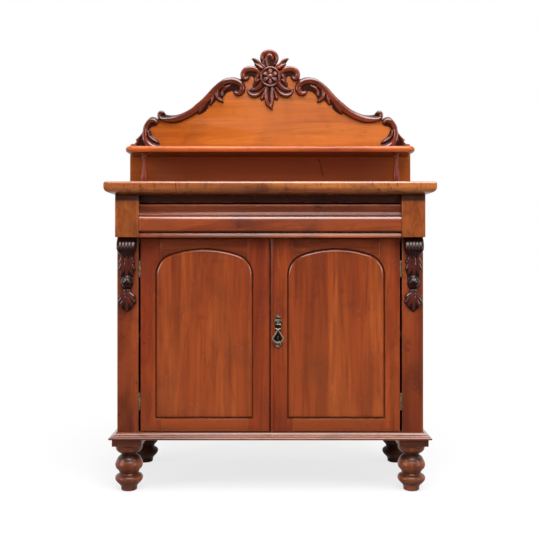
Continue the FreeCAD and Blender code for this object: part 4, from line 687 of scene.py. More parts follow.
# Relief tones: the sunk margin round the field is painted shade, and the rounded arris is a little lighter as a
# painted highlight.
panel_loops = [
    arched(7.7, -147.8, 0.5),
    arched(7.7, -154.2, 0.2),
    arched(-1.0, -154.2, 0.14),
    arched(-3.6, -154.3, 0.14),
    arched(-4.0, -155.0, 0.3),
]
for out, up in arc((0, 0), (9.0, 7.4), 180, 90, 12):
    panel_loops.append(arched(-13.0 - out, -155.1 - up, 0.6))
panel_loops += [arched(-22, -162.5), arched(-42, -162.5)]
for side, name in ((-1, "left"), (1, "right")):
    body = f"{name}_door"
    loops = [[(side * x, y, z, tone) for x, y, z, tone in loop] for loop in panel_loops]
    panel = f"{name}_door_panel"
    add_piece(f"{name}_panel_raised", shell_of(loops), panel_cedar, "panel_wood", panel, body=body)
    for member, wood in (
        ("hinge_stile", stile_cedar), ("meeting_stile", stile_cedar),
        ("top_rail", door_rail_cedar), ("bottom_rail", door_rail_cedar),
    ):
        node = f"{name}_door_{member}"
        mesh = eased_copy(node, 0.7)
        finish_arch(mesh)
        if node == "left_door_meeting_stile":
            # The edge under the other door's bead is dark with dirt and painted shade, up to a sharp line.
            for across in (DIRT_AND_SHADE_LINE - 0.4, DIRT_AND_SHADE_LINE + 0.4):
                everything = mesh.verts[:] + mesh.edges[:] + mesh.faces[:]
                bmesh.ops.bisect_plane(
                    mesh, geom=everything, plane_co=(across * MM, 0, 0), plane_no=(1, 0, 0)
                )
            relief = mesh.verts.layers.float["relief"]
            for point in mesh.verts:
                if point.co.x > DIRT_AND_SHADE_LINE * MM:
                    point[relief] = 0.1
        add_piece(f"{node}_polished", mesh, wood, "door_wood", node, body=body)

DOOR_FACE = -161.5
# Relief tones: the gap lines each side of the bead are painted shade, and the bead is a little lighter as a painted
# highlight.
bead_line = [(1.25, DOOR_FACE, 0.3)]
bead_line += [(x, y, 0.58) for x, y in arc((5.6, -161.6), (-4.3, -3.85), 0, 180, 16)]
bead_line += [(10.75, DOOR_FACE, 0.0)]
bead_ends = [[(x, y, z, tone) for x, y, tone in bead_line] for z in (187, 779)]
add_piece("astragal_run", shell_of(bead_ends), stile_cedar, "door_wood", "astragal_bead", body="right_door")

# --- Hinges, lock and bolts
# Brass butt hinges on fixed pins, a cut cupboard lock and two flat bolts, all let in
# flush and held by slotted brass screws. The brass has gone brown.

tarnish, enter = new_group(
    "tarnish", "ShaderNodeTree",
    {"Place": "Vector", "Bright": "Color", "Brown": "Color", "Hollow or ridge": "Float", "Arris": "Float"},
    {"Colour": "Color", "Dullness": "Float"},
)
place, bright, brown, carving, arris, *_ = enter
mottle = spread(cloud(place, 160, 4, 0.5), 0.36, 0.64)
shade = blend(mottle, bright, brown)
shade = blend(times(arris, 0.6), shade, bright)
shade = blend(spread(carving, 0.5, 0.58, 0.0, 0.8), shade, bright)
shade = blend(spread(carving, 0.46, 0.12, 0.0, 0.95), shade, tint(16, 13, 10))
put(tarnish, "NodeGroupOutput", {"Colour": shade, "Dullness": spread(mottle, 0, 1, 0.3, 0.5)})


def old_brass(name, bright, brown, metal):
    """Brass gone brown, bright only where it is handled."""
    brass, tree, place = new_surface(name)
    skin = {
        "Place": place, "Bright": tint(*bright), "Brown": tint(*brown),
        "Hollow or ridge": mark(tree, "relief"), "Arris": mark(tree, "arris"),
    }
    skin = put(tree, "Group", skin, node_tree=tarnish)
    finish = {"Base Color": skin["Colour"], "Roughness": skin["Dullness"], "Metallic": metal}
    put(tree, "OutputMaterial", {"Surface": put(tree, "BsdfPrincipled", finish)[0]})
    return brass


hinge_brass = old_brass("hinge brass", (160, 132, 98), (104, 82, 58), 0.6)
dark_brass = old_brass("dark brass", (166, 156, 134), (74, 67, 53), 0.7)
for node, body, ease in (
    ("case_hinge_leaves", "carcase", 0.25),
    ("left_door_hinge_leaves", "left_door", 0.25),
    ("right_door_hinge_leaves", "right_door", 0.25),
    ("bolt_keeps", "carcase", 0.2),
    ("bolt_plates", "left_door", 0.4),
    ("top_bolt", "top_bolt", 0.5),
    ("bottom_bolt", "bottom_bolt", 0.5),
    ("lock_case", "right_door", 0.5),
    ("lock_bolt", "lock_bolt", 0.6),
):
    add_eased("cast", node, ease, hinge_brass, "hinge_brass", body)

# A countersunk head 1 mm in radius with its slot, facing up: two half rounds and a sunk strip.
SLOT = 0.16
slot_angle = math.degrees(math.asin(SLOT))
one_head = bmesh.new()
for start in (0, 180):
    rim = arc((0, 0), (1, 1), start + slot_angle, start + 180 - slot_angle, 9)
    face = [(x * 0.93, math.copysign(max(abs(y) * 0.93, SLOT), y)) for x, y in rim]
    rounds = [[(x, y, z) for x, y in ring] for ring, z in ((rim, -0.4), (rim, 0.05), (face, 0.1))]
    shell_of(rounds, one_head)
relief = marked(one_head)
for point in bmesh.ops.create_cube(one_head, size=MM)["verts"]:
    point.co = (point.co.x * 1.9, point.co.y * 0.34, point.co.z * 0.2 - 0.25 * MM)
    point[relief] = 0.5
bmesh.ops.recalc_face_normals(one_head, faces=one_head.faces)
one_head = set_down("screw head", one_head)

# Screws: a head on every hole, square to the plate, its slot left as the driver stopped.
screws, enter = new_group(
    "screws in their holes", "GeometryNodeTree",
    {"Holes": "Geometry", "Head": "Object", "Radius": "Float", "Seed": "Int", "Brass": "Material"},
    {"Screws": "Geometry"},
)
holes, head, radius, seed, brass, *_ = enter
head = put(screws, "GeometryNodeObjectInfo", {"Object": head})["Geometry"]
facing = put(screws, "GeometryNodeInputNamedAttribute", {"Name": "facing"}, data_type="FLOAT_VECTOR")[0]
square = put(screws, "FunctionNodeAlignRotationToVector", {"Vector": facing}, axis="Z")[0]
stopped = put(screws, "FunctionNodeRandomValue", {"Seed": seed, 2: 0.0, 3: math.pi}, data_type="FLOAT")[1]
slot_turn = put(screws, "CombineXYZ", {"Z": stopped})[0]
heads = {"Points": holes, "Instance": head, "Rotation": square, "Scale": radius}
driven = put(screws, "GeometryNodeInstanceOnPoints", heads)[0]
driven = put(screws, "GeometryNodeRotateInstances", {"Instances": driven, "Rotation": slot_turn})[0]
give_out(screws, driven, brass, "Screws")


def drive(name, body, holes, radius, seed):
    """Screws for one body; each hole is its place and the way its head faces."""
    points = loose_points(f"{name}_holes", [place for place, _ in holes])
    facing = points.data.attributes.new("facing", "FLOAT_VECTOR", "POINT")
    facing.data.foreach_set("vector", [share for _, way in holes for share in way])
    mesh = grown(screws, points, head=one_head, radius=radius, seed=seed, brass=hinge_brass)
    piece = set_down(name, mesh)
    piece.data.materials.append(hinge_brass)
    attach(piece, body)


def leaf_holes(side, face, way):
    """Three holes in each of the two leaves on one side, staggered as they are drilled."""
    return [
        ((side * face, -150 + offset, bottom + rise), (side * way, 0, 0))
        for bottom in (252.5, 660.5)
        for rise, offset in ((8.5, 2.5), (25.5, -2.5), (42.5, 2.5))
    ]


keep_holes = [((x, -126, z), (0, 0, way)) for x in (-33.5, -21) for z, way in ((186, 1), (766, -1))]
plate_holes = [((x, -138, z), (0, 1, 0)) for x in (-34.6, -19.8) for z in (206, 245.6, 706.4, 746)]
lock_holes = [((x, -128.5, z), (0, 1, 0)) for x in (10, 56) for z in (490.5, 525.5)]
case_holes = leaf_holes(-1, 403.9, -1) + leaf_holes(1, 403.9, -1) + keep_holes
for name, body, holes, radius, seed in (
    ("case_hinge_screws", "carcase", case_holes, 2.4, 3),
    ("left_door_leaf_screws", "left_door", leaf_holes(-1, 400.1, 1), 2.4, 5),
    ("left_door_bolt_screws", "left_door", plate_holes, 1.3, 6),
    ("right_door_leaf_screws", "right_door", leaf_holes(1, 400.1, 1), 2.4, 7),
    ("lock_screws", "right_door", lock_holes, 2.6, 8),
):
    drive(name, body, holes, radius, seed)
bpy.data.objects.remove(one_head)

# --- Escutcheon and drop handle
# A cast brass plate with a crown and ears round the keyhole, and a pear-shaped ring
# that drops from a pin between its two lugs. Years of hands have left it dark.


def nearest(points):
    """A map of points that finds the one nearest to a place."""
    finder = KDTree(len(points))
    for index, (x, z, *_) in enumerate(points):
        finder.insert((x, z, 0), index)
    finder.balance()
    return finder


def leaf_ridge(points, height):
    """A ridge of a carving: a line of (x, z, half width), sampled closely for measuring."""
    line = through(points, steps=8)
    return line, nearest(line), max(width for *_, width in points), height


# The rows of a grid of even triangles, as a share of the points' distance along a row.
ROW_PITCH = 0.866


def carve(mesh, outline, ridges, wall, rim=2.0, ground=4.0, rounding=4.0, grid=1.5, swell=None):
    """One carved leaf or scroll: a flat back on the wall, upright edges, and a face that
    rises from its rim to the ground of the carving and on to its ridges."""
    relief = marked(mesh)
    sides = zip(outline, outline[1:] + outline[:1])
    border = nearest([
        (x + (next_x - x) * share, z + (next_z - z) * share)
        for (x, z), (next_x, next_z) in sides
        for share in (0, 1 / 3, 2 / 3)
    ])
    low_x, high_x = min(x for x, _ in outline), max(x for x, _ in outline)
    low_z, high_z = min(z for _, z in outline), max(z for _, z in outline)
    points = list(outline)
    row_count = int((high_z - low_z) / (grid * ROW_PITCH)) + 1
    column_count = int((high_x - low_x) / grid) + 1
    for row in range(row_count):
        for column in range(column_count):
            x = low_x + (column + row % 2 * 0.5) * grid
            z = low_z + row * grid * ROW_PITCH
            if border.find((x, z, 0))[2] > grid * 0.55:
                points.append((x, z))
    loop = [list(range(len(outline)))]
    flat, _, faces, *_ = delaunay_2d_cdt([Vector(point) for point in points], [], loop, 1, 1e-6)
    ridges = [leaf_ridge(*ridge) for ridge in ridges]
    highest = max([height for *_, height in ridges], default=1)
    used = {}

    def lifted(number):
        if number not in used:
            x, z = flat[number]
            away = min(border.find((x, z, 0))[2] / rounding, 1)
            rise = ground + (swell(x, z) if swell else 0)
            top = 0
            for line, finder, widest, height in ridges:
                _, near, distance = finder.find((x, z, 0))
                width = max(line[near][2], 0.5)
                if distance < width:
                    width_share, dome = width / widest, 1 - (distance / width) ** 2
                    top = max(top, height * math.sqrt(width_share) * math.sqrt(dome))
            lift = rim + (rise + top - rim) * math.sqrt(1 - (1 - away) ** 2)
            used[number] = mesh.verts.new((x * MM, (wall - lift) * MM, z * MM))
            # A relief tone: low on the carving's ground, rising toward its ridge tops. Wood paints it as shade and
            # highlight; on brass it is patina and wear.
            used[number][relief] = 0.16 + 0.40 * math.sqrt(top / highest) * away
        return used[number]

    made = [mesh.faces.new([lifted(number) for number in face]) for face in faces]
    inside = [point for point in used.values() if not point.is_boundary]
    for _ in range(2):
        bmesh.ops.smooth_vert(mesh, verts=inside, factor=0.5, use_axis_y=True)
    rim_edges = [edge for edge in {edge for face in made for edge in face.edges} if edge.is_boundary]
    sunk = bmesh.ops.extrude_edge_only(mesh, edges=rim_edges)["geom"]
    for thing in sunk:
        if isinstance(thing, bmesh.types.BMVert):
            thing.co.y = wall * MM
            # The upright edges get a low relief tone: painted shade on wood.
            thing[relief] = 0.2
    back = [edge for edge in sunk if isinstance(edge, bmesh.types.BMEdge) and edge.is_boundary]
    bmesh.ops.holes_fill(mesh, edges=back)


def both_hands(lines, middle):
    """A carving's ridges set out to the right and to the left of its middle."""
    return [
        ([(middle + hand * x, z, width) for x, z, width in line], height)
        for line, height in lines
        for hand in (1, -1)
    ]


def whole(half, middle, shared=1):
    """A full outline from its right half. The half's last point lies on the middle, and so
    does its first, unless shared is 0."""
    left = [(middle - x, *rest) for x, *rest in reversed(half[shared:-1])]
    return [(middle + x, *rest) for x, *rest in half] + left


PLATE_X, KEYHOLE_Z = 24.0, 508
KEYHOLE_ROUND, KEYHOLE_SLOT, KEYHOLE_DROP, KEYHOLE_FLOOR = 2.8, 1.3, 6.5, -162.3
PIN_Y, PIN_Z = -170.5, 499
LUGS = ((18.95, 21.45), (26.55, 29.05))
plate_half = [
    (0, 545.6), (3.0, 544.6), (3.8, 541.8), (6.6, 542.4), (9.0, 539.4), (7.0, 536.0), (4.2, 533.8), (5.4, 531.0),
    (9.6, 529.0), (12.8, 525.4), (11.4, 521.2), (9.4, 518.2), (10.2, 514.6), (9.2, 510.8), (9.0, 505.6), (10.0, 501.8),
    (8.2, 497.8), (5.8, 493.0), (8.0, 484.0), (11.6, 475.0), (11.2, 467.0), (6.4, 461.0), (8.0, 457.6), (9.2, 453.0),
    (7.2, 448.4), (4.6, 446.0), (4.4, 443.4), (0, 441.3),
]
plate_outline = through(
    whole(plate_half, PLATE_X), sharp=(2, 6, 11, 21, 33, 43, 48, 52), steps=3, closed=True
)
plate_lines = [
    ([(0, 536, 2.2), (0, 543, 3.2)], 2.0),
    ([(3.4, 536, 2.0), (6.6, 540, 2.8)], 2.0),
    ([(0, 527.2, 4.4), (0, 521.6, 4.6)], 2.4),
    ([(5.6, 529.0, 1.8), (10.4, 526.2, 2.4), (9.8, 521.8, 2.0)], 1.8),
    ([(0, 515.0, 2.2), (5, 515.2, 2.2), (9, 514.4, 2.2)], 1.8),
    ([(0, 501.2, 2.0), (5, 501.4, 2.0), (9, 501.8, 2.0)], 1.8),
    ([(0, 478, 1.6), (0, 474, 2.6), (0, 469, 1.6)], 1.0),
    ([(0, 459, 2.0), (0, 444, 2.6)], 1.8),
    ([(7.4, 455.0, 2.0), (6.4, 449.6, 2.2), (2.4, 446.4, 1.8)], 1.8),
]
plate = bmesh.new()
carve(
    plate, plate_outline, both_hands(plate_lines, PLATE_X), DOOR_FACE, rim=1.2, ground=1.5, rounding=1.4,
    grid=0.75,
)
relief = plate.verts.layers.float["relief"]
# The keyhole is a shallow sunk patch at the lowest relief, painted near-black: painted shade in place of an open hole.
for point in plate.verts:
    across, up = point.co.x / MM - PLATE_X, point.co.z / MM - KEYHOLE_Z
    if math.hypot(across, up) < KEYHOLE_ROUND or (abs(across) < KEYHOLE_SLOT and -KEYHOLE_DROP < up < 0):
        point.co.y = max(point.co.y, KEYHOLE_FLOOR * MM)
        point[relief] = 0.0
for low, high in LUGS:
    lug = bmesh.ops.create_cube(plate, size=1)["verts"]
    for point in lug:
        point.co = Vector((
            (low + high) / 2 + point.co.x * (high - low), -168 + point.co.y * 11, PIN_Z + point.co.z * 6
        )) * MM
        point[relief] = 0.5
    edges = list({edge for point in lug for edge in point.link_edges})
    bmesh.ops.bevel(plate, geom=edges, offset=0.6 * MM, segments=2, profile=0.5, affect="EDGES")


def cast_pin(mesh, low, high, radius):
    """A round rod through the lugs, lying across the door between two points."""
    ring = [(PIN_Y + a, PIN_Z + b, 0.54) for a, b in arc((0, 0), (radius, radius), 0, 337.5, 15)]
    shell_of([[(x, *point) for point in ring] for x in (low, high)], mesh)


cast_pin(plate, LUGS[0][0], LUGS[1][1], 1.2)
add_piece("escutcheon_cast", plate, dark_brass, "dark_brass", "escutcheon_plate", body="right_door")

# The ring: a bar bent round to a pear, thickest at the bottom where a finger pulls.
half_ring = [
    (0, 460.2, 3.1), (5.6, 460.9, 3.0), (10.6, 463.8, 2.7), (14.6, 468.4, 2.4), (15.7, 472.4, 2.2), (13.8, 477.6, 2.1),
    (10.0, 483.4, 2.0), (6.2, 489.0, 2.0), (3.0, 494.4, 2.0), (0, 496.2, 2.2),
]
ring_line = through(whole(half_ring, PLATE_X), steps=4, closed=True)
bar_rounds = []
for index, (x, z, width) in enumerate(ring_line):
    before, after = ring_line[index - 1], ring_line[(index + 1) % len(ring_line)]
    along = Vector((after[0] - before[0], after[1] - before[1])).normalized() * width
    bar_rounds.append([
        (x + along.y * aside, PIN_Y + 1.95 * deep, z - along.x * aside, 0.48 - 0.1 * deep)
        for aside, deep in arc((0, 0), (1, 1), 0, 330, 11)
    ])
ring = shell_of(bar_rounds, hoop=True)
cast_pin(ring, LUGS[0][1] + 0.1, LUGS[1][0] - 0.1, 2.95)
add_piece("drop_handle_cast", ring, dark_brass, "dark_brass", "drop_handle", body="drop_handle")

# --- Gallery
# A tall back board of honey cedar with a serpentine head, a narrow bullnosed shelf let
# into it, and two slim turned spindles that carry the shelf's front corners.

honey_cedar = polished_cedar(
    "gallery cedar", (192, 106, 38), (170, 87, 29), (124, 55, 19), "X", 15, rings=0.4, stain=0.18,
    rub=0.15, gloss=0.2, polish=0.12, coat=0.0,
)
place, brush = over(honey_cedar)
across, height = axis(place, "X"), axis(place, "Z")
# Below the shelf the board is painted darker as shade under the shelf, less so toward the ends as painted side light;
# it has one hairline crack.
inward = spread(sums("ABSOLUTE", across), 0.428, 0.404, 0.35, 1.0)
brush(times(spread(height, 1.090, 1.070, 0.0, 0.72), inward), 146, 76, 52)
aside = sums("ADD", across, times(height, 0.297), times(cloud(place, 55, 2), 0.012))
aside = sums("ABSOLUTE", sums("SUBTRACT", aside, 0.496))
low_end, high_end = spread(height, 1.004, 1.012), spread(height, 1.072, 1.068)
brush(times(spread(aside, 0.0017, 0.0007), low_end, high_end), 20, 8, 6)
back_board = eased_copy("gallery_back_board", 1.2)
add_piece("gallery_back_polished", back_board, honey_cedar, "honey_wood", "gallery_back_board")
shelf_cedar = polished_cedar(
    "gallery shelf cedar", (216, 114, 49), (190, 93, 39), (126, 54, 25), "X", 16, stain=0.25, polish=0.25,
    coat=0.2,
)
BOARD_FRONT, SHELF_Z = 207.5, 1088.25
shelf_loops = []
for out, up in [(0, -11.2), *arc((0, 0), (11.25, 11.2), -88, 88, 16), (0, 11.2)]:
    inset = 11.25 - out + (8 if out == 0 else 0)
    plan = board_plan(495 - inset, 77.5 + inset, BOARD_FRONT, max(25 - inset, 3))
    # The shelf's underside takes a low relief tone: painted shade.
    shelf_loops.append([(x, y, SHELF_Z + up, 0.08 if up < -10 else 0.5) for x, y in plan])
add_piece("gallery_shelf_bullnosed", shell_of(shelf_loops), shelf_cedar, "honey_wood", "gallery_shelf")
spindle_foot = [(0, 0), (10.8, 0)]
spindle_line = through(
    [
        (11.3, 1.2), (11.2, 5), (8, 8), (6.8, 11.5), (8.8, 14), (9.2, 17), (6.6, 20.2), (6.6, 22.6), (8.6, 28),
        (10.6, 35), (11.4, 43), (11.2, 50), (10, 60), (8.3, 72), (6.8, 84), (5.8, 94), (5.3, 103), (5.5, 108),
        (8.6, 110.5), (9.4, 114.5), (8.6, 118.6), (6, 119.6), (6.2, 122), (9.8, 123.4), (10, 127),
    ],
    sharp=(6, 7, 17, 20, 21, 22),
)
spindle_profile = spindle_foot + spindle_line + [(0, 127)]
spindle_cedar = polished_cedar(
    "spindle cedar", (150, 60, 32), (118, 40, 22), (64, 22, 12), "Z", 17, stain=0.3, gloss=0.3, polish=0.3,
    coat=0.0,
)
spindle_places = [(-431, 105.5, 950), (431, 105.5, 950)]
add_turned("gallery_spindles", spindle_profile, spindle_places, spindle_cedar, 56)

# --- Carved scrolls of the gallery
# Acanthus scrolls in a darker cedar, sawn to outline, carved by hand in rounded ridges
# and hollows, and glued to the board: a long S each side, and a bracket over each end.

carved_cedar = polished_cedar(
    "carved cedar", (140, 62, 36), (104, 41, 25), (52, 19, 13), "X", 18, rings=0.3, stain=0.3, rub=0.35,
    gloss=0.16,
)


def polish_ridges_shade_hollows(wood):
    """Polish rubbed up on a carving's ridges, and painted shade, with some dirt, darkening its hollows."""
    _, brush = over(wood)
    relief = mark(wood.node_tree, "relief")
    # Painted shade, with some dirt, darkening the hollows.
    brush(spread(relief, 0.46, 0.1, 0.0, 0.75), 30, 10, 8)
    wood.node_tree.links.new(spread(relief, 0.2, 0.5), surface_of(wood)["Coat Weight"])


polish_ridges_shade_hollows(carved_cedar)


def carve_leaf(mesh, outline, sharp, ridges, ground=3):
    """One leaf or scroll of the gallery, glued to the front of its board."""
    carve(mesh, through(outline, sharp, 4, closed=True), ridges, BOARD_FRONT, ground=ground)


def add_carving(name, mesh, wood=carved_cedar):
    add_piece(f"{name}_carved", mesh, wood, "carved_wood", name)


def other_hand(mesh):
    """Adds the mirror image of what is carved so far."""
    copy = bmesh.ops.duplicate(mesh, geom=mesh.verts[:] + mesh.edges[:] + mesh.faces[:])["geom"]
    for thing in copy:
        if isinstance(thing, bmesh.types.BMVert):
            thing.co.x = -thing.co.x


scroll_outline = [
    (-88, 1327), (-93, 1341), (-104, 1352), (-123, 1360), (-146, 1360), (-165, 1355), (-184, 1342),
    (-204, 1325), (-223, 1304), (-242, 1284), (-262, 1267), (-281, 1251), (-300, 1240), (-320, 1231),
    (-339, 1226), (-358, 1226), (-370, 1228), (-374, 1233), (-381, 1240), (-391, 1242), (-400, 1236),
    (-403, 1224), (-399, 1213), (-389, 1205), (-370, 1200), (-351, 1197), (-327, 1200), (-304, 1209),
    (-281, 1221), (-262, 1233), (-252, 1228), (-235, 1238), (-221, 1253), (-219, 1262), (-210, 1261),
    (-200, 1271), (-192, 1281), (-181, 1272), (-165, 1271), (-169, 1284), (-161, 1300), (-154, 1307),
    (-146, 1311), (-136, 1313), (-132, 1307), (-127, 1298), (-113, 1293), (-98, 1300), (-89, 1313),
]
scroll_ridges = [
    ([
        (-377, 1234, 4), (-388, 1235, 6), (-395, 1229, 7), (-395, 1218, 7), (-386, 1211, 7.5), (-368, 1209, 8.5),
        (-341, 1211, 10.5), (-314, 1219, 12), (-286, 1233, 13), (-259, 1254, 13.5), (-232, 1279, 13.5),
        (-208, 1305, 13), (-187, 1328, 12), (-167, 1343, 11.5), (-143, 1349, 11), (-122, 1346, 11),
        (-106, 1336, 11), (-99, 1321, 10), (-104, 1308, 9), (-115, 1302, 7), (-125, 1305, 5),
    ], 11),
    ([
        (-170, 1330, 5), (-184, 1319, 6), (-190, 1304, 6.5), (-188, 1288, 6), (-177, 1278, 4.5), (-166, 1274, 3),
    ], 8),
    ([(-146, 1330, 4), (-160, 1322, 5), (-170, 1310, 5), (-170, 1296, 4)], 6),
    ([(-198, 1324, 4), (-203, 1304, 5), (-206, 1283, 5), (-211, 1263, 3)], 6.5),
    ([(-211, 1311, 4), (-220, 1287, 4.5), (-236, 1259, 4.5), (-254, 1234, 2.5)], 6),
]
scrolls = bmesh.new()
carve_leaf(scrolls, scroll_outline, (0, 17, 23, 29, 30, 33, 34, 36, 38), scroll_ridges, 4)
other_hand(scrolls)
add_carving("crest_scrolls", scrolls)

bracket_outline = [
    (-398, 1208), (-405, 1216), (-419, 1220), (-432, 1214), (-444, 1200), (-452, 1185), (-456, 1165),
    (-467, 1150), (-480, 1138), (-477, 1131), (-488, 1118), (-487, 1099.6), (-394, 1099.6), (-394, 1129),
    (-405, 1140), (-417, 1150), (-423, 1161), (-429, 1177), (-423, 1185), (-409, 1188), (-400, 1196),
]
bracket_ridges = [
    ([
        (-404, 1200, 6), (-416, 1207, 7.5), (-431, 1203, 8), (-441, 1190, 8.5), (-447, 1172, 9), (-448, 1153, 10),
        (-443, 1134, 11), (-431, 1119, 11), (-414, 1111, 10), (-398, 1110, 7),
    ], 9.5),
    ([(-434, 1166, 3.5), (-430, 1150, 4.5), (-418, 1139, 4.5), (-402, 1130, 4)], 7),
    ([(-456, 1166, 4), (-465, 1148, 5), (-476, 1130, 5), (-482, 1110, 4.5)], 6.5),
]
brackets = bmesh.new()
carve_leaf(brackets, bracket_outline, (0, 8, 9, 11, 12, 13), bracket_ridges, 3.5)
other_hand(brackets)
add_carving("bracket_scrolls", brackets)

# --- Carved cartouche
# The middle of the crest: a curled head over two pairs of leaves, a scroll each side and
# a hanging leaf, built up in layers round a turned ring that holds a six-petalled flower.

cartouche = bmesh.new()
side_scroll = [
    (-34, 1378), (-44, 1392), (-56, 1399.5), (-71, 1401.5), (-89, 1397.5), (-101, 1387), (-107, 1373), (-105, 1358),
    (-99, 1350.5), (-90.5, 1346.5), (-81, 1349), (-74, 1356.5), (-71, 1364), (-64, 1366), (-60, 1360),
    (-58, 1350), (-57, 1342), (-48, 1335), (-34, 1338),
]
carve_leaf(
    cartouche, side_scroll, (0, 12, 18),
    [
        ([
            (-34, 1372, 7), (-45, 1384, 9), (-58, 1390.5, 10), (-73, 1392, 10.5), (-87, 1388, 10.5),
            (-96, 1378, 10), (-98.5, 1366, 9), (-94, 1356.5, 8), (-86.5, 1354, 6.5), (-81, 1358, 4.5),
        ], 11),
        ([(-38, 1372, 6), (-46, 1362, 7), (-50, 1350, 6), (-50, 1340, 4.5)], 6),
    ],
)
lower_leaf = [
    (-30, 1358), (-48, 1352), (-58, 1344), (-63, 1336), (-61, 1329), (-66, 1322), (-74, 1318.5), (-84, 1318),
    (-83, 1308), (-75.5, 1296), (-62, 1289), (-45, 1290), (-32, 1299), (-22, 1313), (-14, 1326),
]
carve_leaf(
    cartouche, lower_leaf, (0, 4, 7, 14),
    [
        ([(-80, 1312, 4), (-74, 1301, 5.5), (-61, 1295, 6.5), (-46, 1297, 6.5), (-33, 1306, 6), (-20, 1320, 6)], 9.5),
        ([(-68, 1316, 3), (-54, 1318, 6), (-40, 1326, 9), (-28, 1340, 10)], 6.5),
        ([(-58, 1333, 4.5), (-52, 1343, 5.5), (-42, 1351, 6)], 8),
    ],
)
upper_leaf = [
    (-67.5, 1426.5), (-58, 1429.5), (-43, 1424.5), (-32.5, 1412), (-16, 1402), (-14, 1388), (-37.5, 1387.5),
    (-49.5, 1396.5), (-57.5, 1405), (-56.5, 1410.5), (-61, 1418.5),
]
carve_leaf(
    cartouche, upper_leaf, (0, 4, 5, 6, 8),
    [
        ([(-65, 1426, 2.5), (-50, 1422, 5.5), (-35, 1410, 6.5), (-20, 1396, 6)], 7.5),
        ([(-54, 1407, 3.5), (-44, 1402, 6), (-30, 1391, 6.5)], 9),
    ],
)
other_hand(cartouche)
hanging_leaf = [
    (-22, 1336), (-27, 1306), (-36, 1290), (-35, 1281), (-28, 1277.5), (-20.5, 1284), (-19, 1269), (-10, 1255),
    (9.5, 1244), (9.5, 1256), (14, 1272), (15.5, 1283), (22, 1278.5), (30, 1284), (28, 1296), (20, 1311),
    (16, 1336),
]
carve_leaf(
    cartouche, hanging_leaf, (0, 5, 8, 11, 16),
    [
        ([(-12, 1332, 5), (-14, 1311, 6), (-14.5, 1289, 7), (-10, 1269, 7), (-1, 1256, 5.5), (7, 1248, 3)], 9),
        ([(7, 1332, 5), (6, 1311, 6), (6.5, 1289, 7), (6.5, 1272, 6), (5, 1258, 3.5)], 8),
        ([(-19, 1318, 4), (-26, 1301, 5), (-30, 1286, 5.5)], 6.5),
        ([(14, 1318, 4), (21, 1301, 5), (25, 1286, 5.5)], 6.5),
    ],
)
head_curl = [
    (-25, 1402), (-34, 1416), (-36.5, 1431), (-33, 1445), (-23, 1455), (-9, 1459.6), (8, 1459), (21, 1451),
    (28.5, 1440), (30.5, 1427), (27, 1414), (20, 1404), (14, 1392), (-20, 1392),
]
carve_leaf(
    cartouche, head_curl, (12, 13),
    [
        ([
            (18, 1408, 5), (24, 1420, 6.5), (23.5, 1434, 8), (16, 1446, 8.5), (3, 1452.5, 8.5), (-12, 1452, 8),
            (-23, 1445, 8), (-29, 1434, 7), (-28, 1424, 5.5), (-22, 1420, 3.5),
        ], 9.5),
        ([
            (-8, 1398, 5), (-11, 1413, 5), (-14, 1425, 5), (-11, 1436, 6), (-1, 1439, 6.5), (7, 1433, 6),
            (8, 1425, 4),
        ], 7),
        ([(-22, 1400, 4), (-25, 1411, 4.5), (-24, 1420, 3)], 4.5),
    ],
)
ROSE_Z = 1361
ring_seat = arc((0, ROSE_Z), (37, 37), 0, 354, 59)
carve(cartouche, ring_seat, [], BOARD_FRONT, rim=3.5, ground=4.5, rounding=2.0)
add_carving("crest_cartouche", cartouche)

# Relief tones: the sunk ground between ring and flower is painted shade, and the ring's top is a little lighter as a
# painted highlight.
rose_profile = [
    (36.6, 203.0, 0.2), (36.6, 196.4, 0.4), (36.0, 194.0, 0.52), (34.4, 192.2, 0.56), (32.2, 191.8, 0.58),
    (30.2, 192.8, 0.56), (28.9, 194.6, 0.4), (28.4, 197.2, 0.05), (20, 197.2, 0.05), (9.5, 196.6, 0.1),
    (9.0, 193.6, 0.4), (7.6, 191.8, 0.52), (4.8, 190.9, 0.56), (1.0, 190.6, 0.58),
]
rose_loops = []
for radius, y, tone in rose_profile:
    circle = arc((0, ROSE_Z), (radius, radius), 0, 355, 71)
    rose_loops.append([(x, y, z, tone) for x, z in circle])

# One petal, pointing up from the flower's middle: narrow at the heart, round at the tip,
# with a soft valley down its middle.
PETAL_SEAT = 196.6
petal_loops = []
for reach, half, lift in (
    (6, 3.0, 2), (10, 4.6, 4), (15, 6.8, 5.4), (20, 8.4, 5.6), (24, 7.6, 4.6), (26.6, 4.6, 3), (27.8, 1.6, 1),
):
    loop = []
    for step in range(13):
        across = -1 + step / 6
        height = lift * (1 - across * across) ** 0.5 * (0.72 + 0.6 * abs(across) * (1 - abs(across)) * 2)
        # Relief tone rises with the petal's height: its edges and its foot are painted shade.
        loop.append((across * half, PETAL_SEAT - height, reach, 0.3 + 0.045 * height))
    loop.append((0, PETAL_SEAT + 0.8, reach, 0.2))
    petal_loops.append(loop)
one_petal = shell_of(petal_loops)
bmesh.ops.recalc_face_normals(one_petal, faces=one_petal.faces)

